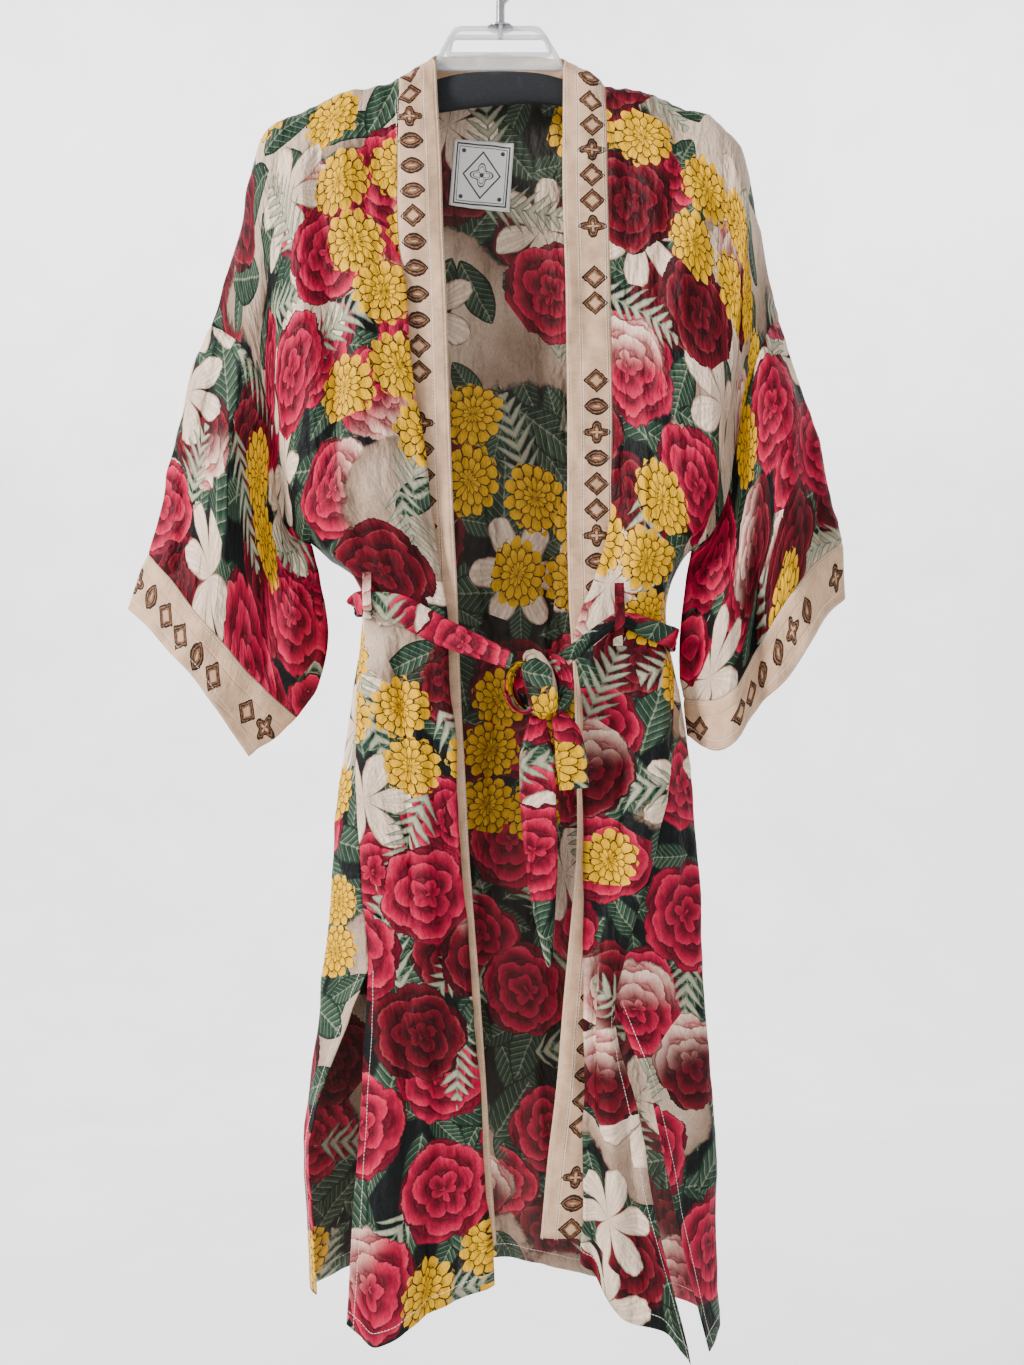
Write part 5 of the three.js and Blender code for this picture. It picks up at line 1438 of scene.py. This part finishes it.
def build_panels(wall):
    """Every cloth panel as a grid, with the normals of meeting edges joined."""
    back = Panel("back", back_grid(), TO_BACK, (0.6, 0.5), wall=wall)
    panels = [back]
    half = len(BACK_STATIONS) - 1
    neck_seam = back.grid[0, half:half + len(MIDDLE_STATIONS)]
    panels.append(Panel("band_neck", neck_grid(neck_seam), TO_BACK, (0.5, 0.5)))
    for name, rows, sign, spec, neck in (
            ("right", FRONT_RIGHT, -1, SLEEVE_RIGHT, NECK_RIGHT_EDGE),
            ("left", FRONT_LEFT, 1, SLEEVE_LEFT, NECK_LEFT_EDGE)):
        grid = front_points(rows, sign, LEVELS, FRONT_STATIONS)
        edge = 0 if sign < 0 else -1
        sleeve, cuff = sleeve_grids(spec, sign, grid[:ARM_ROWS, -1], back.grid[:ARM_ROWS, edge])
        band = band_grid(rows, sign, neck, grid[:, 0])
        panels.append(Panel(f"front_{name}", grid, TO_VIEWER, (0.5, 0.55), wall=wall))
        panels.append(Panel(f"sleeve_{name}", sleeve, TO_VIEWER, (0.5, 0.25), True, wall))
        panels.append(Panel(f"cuff_{name}", cuff, TO_VIEWER, (0.5, 0.25), True, wall * 1.25))
        panels.append(Panel(f"band_{name}", band, TO_VIEWER, (0.5, 0.5), wall=wall * 1.25))
    join_panels(panels)
    for panel in panels:
        PANELS[panel.name] = panel


def dress(panel, materials):
    obj = wall_object(panel, materials)
    declare(obj, panel.name)
    panel.area()


def dye(name, description, default):
    """Colour property."""
    return bpy.props.FloatVectorProperty(
        name=name, description=description, default=default, size=3, min=0, max=1, subtype="COLOR")


def metres(name, description, default, least, most):
    """Length property in metres."""
    return bpy.props.FloatProperty(name=name, description=description, default=default, min=least,
                                   max=most, unit="LENGTH", subtype="DISTANCE")


class KimonoSettings(bpy.types.PropertyGroup):
    """Sizes of the cloth and the threads, and the dyes of the print and the bands."""

    ground: dye("Ground", "Near-black ground of the flower print", (0.0016, 0.0024, 0.0026))
    rose: dye("Rose", "Crimson of the roses", (0.52, 0.004, 0.05))
    maroon: dye("Maroon", "Dark red of the other roses", (0.16, 0.0015, 0.012))
    pale: dye("Pale", "Cream of the lilies and of the pale petals", (0.86, 0.66, 0.5))
    mum: dye("Mum", "Golden yellow of the mums", (0.78, 0.4, 0.0))
    leaf: dye("Leaf", "Green of the leaves", (0.02, 0.06, 0.034))
    band: dye("Band", "Beige of the bands and the cuffs", (0.57, 0.36, 0.225))
    ornament: dye("Ornament", "Brown of the figures on the bands", (0.16, 0.055, 0.018))
    thread: dye("Thread", "Colour of the stitching thread", (0.82, 0.76, 0.68))

    wall: metres("Cloth thickness", "Thickness of the printed cloth's wall", 0.0012, 0.0005, 0.003)
    stitch_pitch: metres("Stitch pitch", "Distance from one stitch to the next", 0.0034, 0.002, 0.01)
    stitch_length: metres("Stitch length", "Length of one stitch", 0.0025, 0.001, 0.009)
    camera_distance: metres("Camera distance", "Distance from the camera to the garment", 1.4, 0.5, 5)


class KIMONO_OT_panels(bpy.types.Operator):
    """Build the back, the fronts and the sleeves"""

    bl_idname = "kimono.panels"
    bl_label = "Panels"

    def execute(self, context):
        settings = context.scene.kimono
        FINISHES.update(make_materials({name: tuple(getattr(settings, name)) for name in DYES}))
        build_panels(settings.wall / MM)
        print_pair = (FINISHES["printed_cloth"], FINISHES["printed_inside"])
        for name in ("back", "front_right", "front_left", "sleeve_right", "sleeve_left"):
            dress(PANELS[name], print_pair)
        return {"FINISHED"}


class KIMONO_OT_bands(bpy.types.Operator):
    """Build the front bands, the neck band and the cuffs"""

    bl_idname = "kimono.bands"
    bl_label = "Bands and cuffs"

    def execute(self, context):
        for name in ("band_right", "band_left", "band_neck", "cuff_right", "cuff_left"):
            outside = FINISHES["cuff_cloth" if "cuff" in name else "band_cloth"]
            dress(PANELS[name], (outside, FINISHES["band_inside"]))
        return {"FINISHED"}


# Where on the print each stretch of the sash is cut, in metres
SASH_STARTS = {
    "belt_right": (4.31, 2.505), "belt_left": (0.78, -0.44), "belt_back": (2.94, 1.66),
    "belt_tail_long": (4.31, 2.49), "belt_tail_short": (0.80, -0.63), "belt_loop_right": (7.05, 4.15),
    "belt_loop_left": (8.42, 4.98), "core": (6.6, 3.4), "over": (0.80, -0.10), "ring": (0.79, -0.2),
    "side": (0.8, -0.52),
}
# The knot's turns of sash: centre lines as in the sash's tables
KNOT_TURNS = {
    "over": table(STRAP_COLUMNS, """
    27 671 -60 15 5 0.2
    29.5 668 -68 22 6 0.2
    33 676 -75 27 6 0.12
    36.5 690 -77.5 29 6 0.05
    39.5 704 -75 26 6 -0.05
    42 714 -69 20 6 -0.1
    43 716 -60 14 5 -0.1
"""),
    "ring": table(STRAP_COLUMNS, """
    30 676 -61 13 4 1.3
    21 671 -66 15 3.4 1.25
    12.5 675 -68.5 16 3 1.2
    8 686 -69 17 3 1.2
    8.5 699 -68.5 17 3 1.2
    14 710.5 -68 16 3 1.25
    23 714.5 -67 15 3.4 1.3
    32 709 -62 13 4 1.3
"""),
    "side": table(STRAP_COLUMNS, """
    45 668 -58 14 6 0
    53 672 -63 15 7 0
    58.5 682 -66 15 7 0
    60 694 -66.5 15 7 0
    57.5 706 -65 14 7 0
    51 715 -60 12 6 0
"""),
}
# The knot's core: its middle and its half sizes in millimetres
KNOT_CORE = {"x": 35, "drop": 692, "y": -61.5, "half_width": 21, "half_height": 25, "half_depth": 10}
# Widths of print in millimetres that the core and each turn show
CORE_PRINT = 120
TURN_PRINT = 46


def joined(name, objects):
    """One object from the meshes of several."""
    bm = bmesh.new()
    for obj in objects:
        bm.from_mesh(obj.data)
        bpy.data.objects.remove(obj)
    mesh = bpy.data.meshes.new(name)
    bm.to_mesh(mesh)
    bm.free()
    return linked(name, mesh)


def build_knot(cloth):
    """Tied knot: a gathered core, a wide turn over it, a turn beside it and an open ring."""
    rings, sides = 48, 60
    polar = np.linspace(0.1, np.pi - 0.1, rings)[:, None]
    turn = np.linspace(0, 2 * np.pi, sides, endpoint=False)[None, :]
    gather = 1 - 0.13 * np.cos(4 * turn + polar * 1.5) * np.sin(polar)
    gather -= 0.05 * (0.5 + 0.5 * np.cos(11 * turn + 3 * polar)) * np.sin(polar)
    x = KNOT_CORE["x"] + KNOT_CORE["half_width"] * np.sin(polar) * np.cos(turn) * gather
    y = KNOT_CORE["y"] + KNOT_CORE["half_depth"] * np.sin(polar) * np.sin(turn) * gather
    drop = KNOT_CORE["drop"] - KNOT_CORE["half_height"] * np.cos(polar) * np.ones_like(turn)
    pieces = [loft("core", np.stack([x, y, -drop], axis=-1), cloth, CORE_PRINT, SASH_STARTS["core"])]
    for part, rows in KNOT_TURNS.items():
        sections = strap_sections(rows, 2 if part == "ring" else 4, 0.34, steps=8, sides=40)
        pieces.append(loft(part, sections, cloth, TURN_PRINT, SASH_STARTS[part]))
    obj = joined("belt_knot_cloth", pieces)
    obj.data.materials.append(cloth[0])
    declare(obj, "belt_knot")


class KIMONO_OT_sash(bpy.types.Operator):
    """Build the sash, its knot, its tails and its loops"""

    bl_idname = "kimono.sash"
    bl_label = "Sash"

    def execute(self, context):
        cloth = (FINISHES["printed_cloth"],)
        for name, rows in STRAPS.items():
            loop = "loop" in name
            sections = strap_sections(rows, upright=name == "belt_back",
                                      pleats=2 if loop else 4, depth=0.1 if loop else 0.42,
                                      twist=0.5 if name == "belt_left" else 0)
            obj = loft(name + "_cloth", sections, cloth, max(rows["width"]), SASH_STARTS[name])
            declare(obj, name)
            path = place(1, rows["x"], rows["drop"], rows["y"])
        build_knot(cloth)
        return {"FINISHED"}


# Corners of the label in millimetres: the top pair, then the bottom pair, right to left of the wearer
LABEL_CORNERS = {"x": ((-44.6, 13.0), (-50.2, 8.4)), "drop": ((161.7, 166.3), (224.9, 232.4))}
LABEL_WALL = 0.6


def label_grid(back):
    """Label's points, just in front of the back's inner skin."""
    inner = back.skin(-1).reshape(-1, 3)
    tree = KDTree(len(inner))
    for k, (x, _, z) in enumerate(inner):
        tree.insert((x, 0, z), k)
    tree.balance()
    share = np.linspace(0, 1, 21)
    down, across = share[:, None], share[None, :]
    x, drop = (mix(mix(top[0], top[1], across), mix(bottom[0], bottom[1], across), down)
               for top, bottom in (LABEL_CORNERS["x"], LABEL_CORNERS["drop"]))
    grid = np.stack([x, np.zeros_like(x), -drop], axis=-1)
    for i, j in np.ndindex(x.shape):
        near = tree.find_n((x[i, j], 0, -drop[i, j]), 4)
        weights = np.array([1 / (distance + 0.3) for _, _, distance in near])
        grid[i, j, 1] = (weights * inner[[index for _, index, _ in near], 1]).sum() / weights.sum()
    bow = np.polynomial.polynomial.polyfit(share, grid[..., 1], 2)
    level = np.polynomial.polynomial.polyval(share, bow).T
    rest = np.minimum(level, grid[..., 1].min(axis=0)[None] + 3)
    curl = 0.5 * (2 * across - 1) ** 2 * down
    grid[..., 1] = np.minimum(rest, grid[..., 1]) - LABEL_WALL / 2 - 0.35 - curl
    return grid


class KIMONO_OT_label(bpy.types.Operator):
    """Build the woven label inside the back neck"""

    bl_idname = "kimono.label"
    bl_label = "Label"

    def execute(self, context):
        label = Panel("label", label_grid(PANELS["back"]), TO_VIEWER, (0.5, 0.5), wall=LABEL_WALL,
                      draped=False)
        PANELS["label"] = label
        dress(label, (FINISHES["label_cloth"],) * 2)
        return {"FINISHED"}


# Distances of the stitch rows in millimetres from the edge that they follow
BAND_ROWS = (1.8, 13.4, 15.6, 38.9, 41.0)
NECK_ROWS = (1.8, 13.4)
CUFF_SEAM_ROWS = (1.8, 4.0)
CUFF_END_ROWS = (2.0, 9.5)
HEM_ROW = 13
SLIT_ROW = 8
LABEL_ROW = 1.3


class KIMONO_OT_stitching(bpy.types.Operator):
    """Sew the rows of stitches on the bands, the cuffs, the hems and the label"""

    bl_idname = "kimono.stitching"
    bl_label = "Stitching"

    def execute(self, context):
        settings = context.scene.kimono
        slit = slice(SLIT * LEVEL_STEPS, None)
        bands, cuffs, hems = [], [], []
        for side in ("right", "left"):
            band, cuff, front = (PANELS[f"{name}_{side}"] for name in ("band", "cuff", "front"))
            bands += [inset_line(band, "first", row) for row in BAND_ROWS]
            cuffs += [inset_line(cuff, "top", row) for row in CUFF_SEAM_ROWS]
            cuffs += [inset_line(cuff, "bottom", row) for row in CUFF_END_ROWS]
            hems.append(inset_line(front, "bottom", HEM_ROW))
            hems.append(inset_line(front, "last", SLIT_ROW, slit))
        back = PANELS["back"]
        hems += [inset_line(back, "bottom", HEM_ROW, side=side) for side in (1, -1)]
        hems += [inset_line(back, edge, SLIT_ROW, slit, side) for edge in ("first", "last")
                 for side in (-1, 1)]
        bands += [inset_line(PANELS["band_neck"], "top", row) for row in NECK_ROWS]
        label = [inset_line(PANELS["label"], edge, LABEL_ROW, slice(1, -1))
                 for edge in ("top", "bottom", "first", "last")]
        for name, lines in (("band", bands), ("cuff", cuffs), ("hem", hems), ("label", label)):
            stitch_rows(name + "_stitches", lines, settings.stitch_pitch, settings.stitch_length)
        return {"FINISHED"}


# Corners of the frame's rims in millimetres (x and drop), each loop with its corner radius
FRAME_RIMS = (
    (((-60, 105), (-60, 98.5), (-43, 67), (37, 67), (56, 98.5), (58, 105)), 9),
    (((-50, 92), (-46, 75.5), (43, 75.5), (48, 92)), 5),
)
# Collar where the hook enters the frame: radius and drop of each step, upwards
COLLAR = [(1.5, 77), (2.4, 76.5), (2.4, 68), (12, 67.5), (12.6, 66.6), (12, 65.8), (4.6, 65.2)]
COLLAR += [(3.6 + 0.7 * (k % 2), 64.5 - k * 0.9) for k in range(26)] + [(3.4, 40.8), (2.3, 40)]
COLLAR_SIDES = 36
# Radius of the rims, the frame's rounded edges and how near points are merged, in millimetres
RIM_RADIUS = 2.5
EDGE_RADIUS = 0.7
MERGE_DISTANCE = 0.01


def rounded(corners, radius, steps=6):
    """Closed path through corners (x and drop), each rounded off."""
    corners = np.array([(x, -drop) for x, drop in corners], float)
    path = []
    share = np.linspace(0, 1, steps)[:, None]
    for k, corner in enumerate(corners):
        ends = []
        for other in (corners[k - 1], corners[(k + 1) % len(corners)]):
            way = other - corner
            length = np.linalg.norm(way)
            ends.append(corner + way / length * min(radius, 0.45 * length))
        path.append((1 - share) ** 2 * ends[0] + 2 * share * (1 - share) * corner + share**2 * ends[1])
    path = np.concatenate(path)
    return np.stack([path[:, 0], np.zeros(len(path)), path[:, 1]], axis=-1)


def closed_tube(name, path, radius, sides=12):
    """Tube along a closed path in millimetres."""
    ahead = np.roll(path, -1, axis=0) - np.roll(path, 1, axis=0)
    ahead /= np.linalg.norm(ahead, axis=1, keepdims=True)
    depth = np.array([0, 1.0, 0])
    across = np.cross(ahead, depth)
    turn = np.linspace(0, 2 * np.pi, sides, endpoint=False)
    rings = (path[:, None] + radius * (np.cos(turn)[None, :, None] * across[:, None]
                                       + np.sin(turn)[None, :, None] * depth))
    faces = grid_faces(len(path), sides, True, True).tolist()
    obj = new_object(name, rings.reshape(-1, 3) * MM, faces, np.zeros((len(path) * sides, 2)))
    face_outwards(obj)
    return obj


def smooth_copy(node, name, finish):
    """Merged copy of a node of the hanger, with its own finish."""
    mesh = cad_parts[node].data.copy()
    bm = bmesh.new()
    bm.from_mesh(mesh)
    bmesh.ops.remove_doubles(bm, verts=bm.verts, dist=MERGE_DISTANCE * MM)
    bmesh.ops.join_triangles(bm, faces=bm.faces, angle_face_threshold=0.05, angle_shape_threshold=3.1)
    for face in bm.faces:
        face.smooth = True
    bm.to_mesh(mesh)
    bm.free()
    mesh.materials.clear()
    mesh.materials.append(FINISHES[finish])
    obj = linked(name, mesh)
    declare(obj, node)
    return obj


def finish_modifier(obj, kind, **settings):
    """Modifier that finishes a piece."""
    modifier = obj.modifiers.new("finish", kind)
    for name, setting in settings.items():
        setattr(modifier, name, setting)


class KIMONO_OT_hanger(bpy.types.Operator):
    """Finish the hanger's pad, frame and hook"""

    bl_idname = "kimono.hanger"
    bl_label = "Hanger"

    def execute(self, context):
        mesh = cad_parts["hanger_hook"].data
        mesh.materials.clear()
        mesh.materials.append(FINISHES["hook_steel"])
        pad = smooth_copy("hanger_pad", "foam_pad", "foam")
        finish_modifier(pad, "SUBSURF", levels=2, render_levels=2)
        clear = smooth_copy("hanger_frame", "clear_frame", "clear_plastic")
        finish_modifier(clear, "BEVEL", width=EDGE_RADIUS * MM, segments=3, limit_method="ANGLE")
        rims = joined("frame_rims", [closed_tube("rim", rounded(corners, radius), RIM_RADIUS)
                                     for corners, radius in FRAME_RIMS])
        rims.data.materials.append(FINISHES["clear_rim"])
        declare(rims)
        turn = np.linspace(0, 2 * np.pi, COLLAR_SIDES, endpoint=False)
        rings = [np.stack([radius * np.cos(turn), radius * np.sin(turn), np.full_like(turn, -drop)],
                          axis=-1) for radius, drop in COLLAR]
        declare(loft("hook_collar", rings, (FINISHES["hook_steel"],), 20))
        return {"FINISHED"}


# Backdrop in metres: the floor's level, where it bends up and its radius there, its half width and top
FLOOR = -1.62
BEND_START = 1.9
BEND_RADIUS = 1.4
BACKDROP_REACH = 25.0
BACKDROP_TOP = 9.0
# Lights: place, aim, size and power
LIGHTS = {
    "key": ((-2.2, -1.3, 0.5), (0, 0, -0.68), 0.7, 150),
    "fill": ((1.9, -1.9, -0.3), (0, 0, -0.68), 1.8, 14),
    "wall_left": ((-1.6, 1.3, 1.5), (-1.0, 3.3, -0.6), 1.2, 130),
    "wall_right": ((1.6, 1.3, 1.5), (1.0, 3.3, -0.6), 1.2, 130),
}
SURROUNDING_LIGHT = 0.8
# Camera: its sensor in millimetres, then in metres the height that it frames, its place across and up,
# and the garment's front, which its distance is measured from
SENSOR = 36
FRAME_HEIGHT = 1.269
CAMERA_X = 0.011
CAMERA_LEVEL = -0.688
GARMENT_FRONT = -0.03


class KIMONO_OT_stage(bpy.types.Operator):
    """Make the floor, the light and the camera"""

    bl_idname = "kimono.stage"
    bl_label = "Stage"

    def execute(self, context):
        away = context.scene.kimono.camera_distance
        bend = np.radians(np.linspace(0, 90, 25))
        profile = [(-BACKDROP_REACH, FLOOR),
                   *zip(BEND_START + BEND_RADIUS * np.sin(bend),
                        FLOOR + BEND_RADIUS - BEND_RADIUS * np.cos(bend)),
                   (BEND_START + BEND_RADIUS, BACKDROP_TOP)]
        points = [(x, y, z) for y, z in profile for x in (-BACKDROP_REACH, BACKDROP_REACH)]
        faces = [(2 * k, 2 * k + 1, 2 * k + 3, 2 * k + 2) for k in range(len(profile) - 1)]
        new_object("backdrop", points, faces, materials=(FINISHES["backdrop"],))
        world = bpy.data.worlds.new("studio")
        context.scene.world = world
        world.use_nodes = True
        background = world.node_tree.nodes["Background"]
        background.inputs["Color"].default_value = (1, 1, 1, 1)
        background.inputs["Strength"].default_value = SURROUNDING_LIGHT
        for name, (spot, aim, size, power) in LIGHTS.items():
            light = bpy.data.lights.new(name, "AREA")
            light.size = size
            light.energy = power
            obj = linked(name, light)
            obj.location = spot
            obj.rotation_euler = (Vector(aim) - obj.location).to_track_quat("-Z", "Y").to_euler()
        camera = bpy.data.cameras.new("camera")
        camera.sensor_width = SENSOR
        camera.lens = SENSOR * away / FRAME_HEIGHT
        obj = linked("camera", camera)
        obj.location = (CAMERA_X, GARMENT_FRONT - away, CAMERA_LEVEL)
        obj.rotation_euler = (math.pi / 2, 0, 0)
        context.scene.camera = obj
        return {"FINISHED"}


class KIMONO_PT_build(bpy.types.Panel):
    """Buttons that build the garment"""

    bl_label = "Kimono"
    bl_idname = "KIMONO_PT_build"
    bl_space_type = "VIEW_3D"
    bl_region_type = "UI"
    bl_category = "Kimono"

    def draw(self, context):
        settings = context.scene.kimono
        for name in SIZES + DYES:
            self.layout.prop(settings, name)
        for step in STEPS:
            self.layout.operator(step.bl_idname)


SIZES = ("wall", "stitch_pitch", "stitch_length", "camera_distance")
DYES = ("ground", "rose", "maroon", "pale", "mum", "leaf", "band", "ornament", "thread")
STEPS = (KIMONO_OT_panels, KIMONO_OT_bands, KIMONO_OT_sash, KIMONO_OT_label, KIMONO_OT_stitching,
         KIMONO_OT_hanger, KIMONO_OT_stage)
CLASSES = (KimonoSettings, *STEPS, KIMONO_PT_build)


def register():
    """Makes the classes and the settings known."""
    for item in CLASSES:
        bpy.utils.register_class(item)
    bpy.types.Scene.kimono = bpy.props.PointerProperty(type=KimonoSettings)


def unregister():
    """Takes the settings and the classes away again."""
    del bpy.types.Scene.kimono
    for item in reversed(CLASSES):
        bpy.utils.unregister_class(item)


def main():
    """Registers the classes and builds every piece."""
    register()
    bpy.ops.kimono.panels()
    bpy.ops.kimono.bands()
    bpy.ops.kimono.sash()
    bpy.ops.kimono.label()
    bpy.ops.kimono.stitching()
    bpy.ops.kimono.hanger()
    bpy.ops.kimono.stage()


if __name__ == "__main__":
    main()
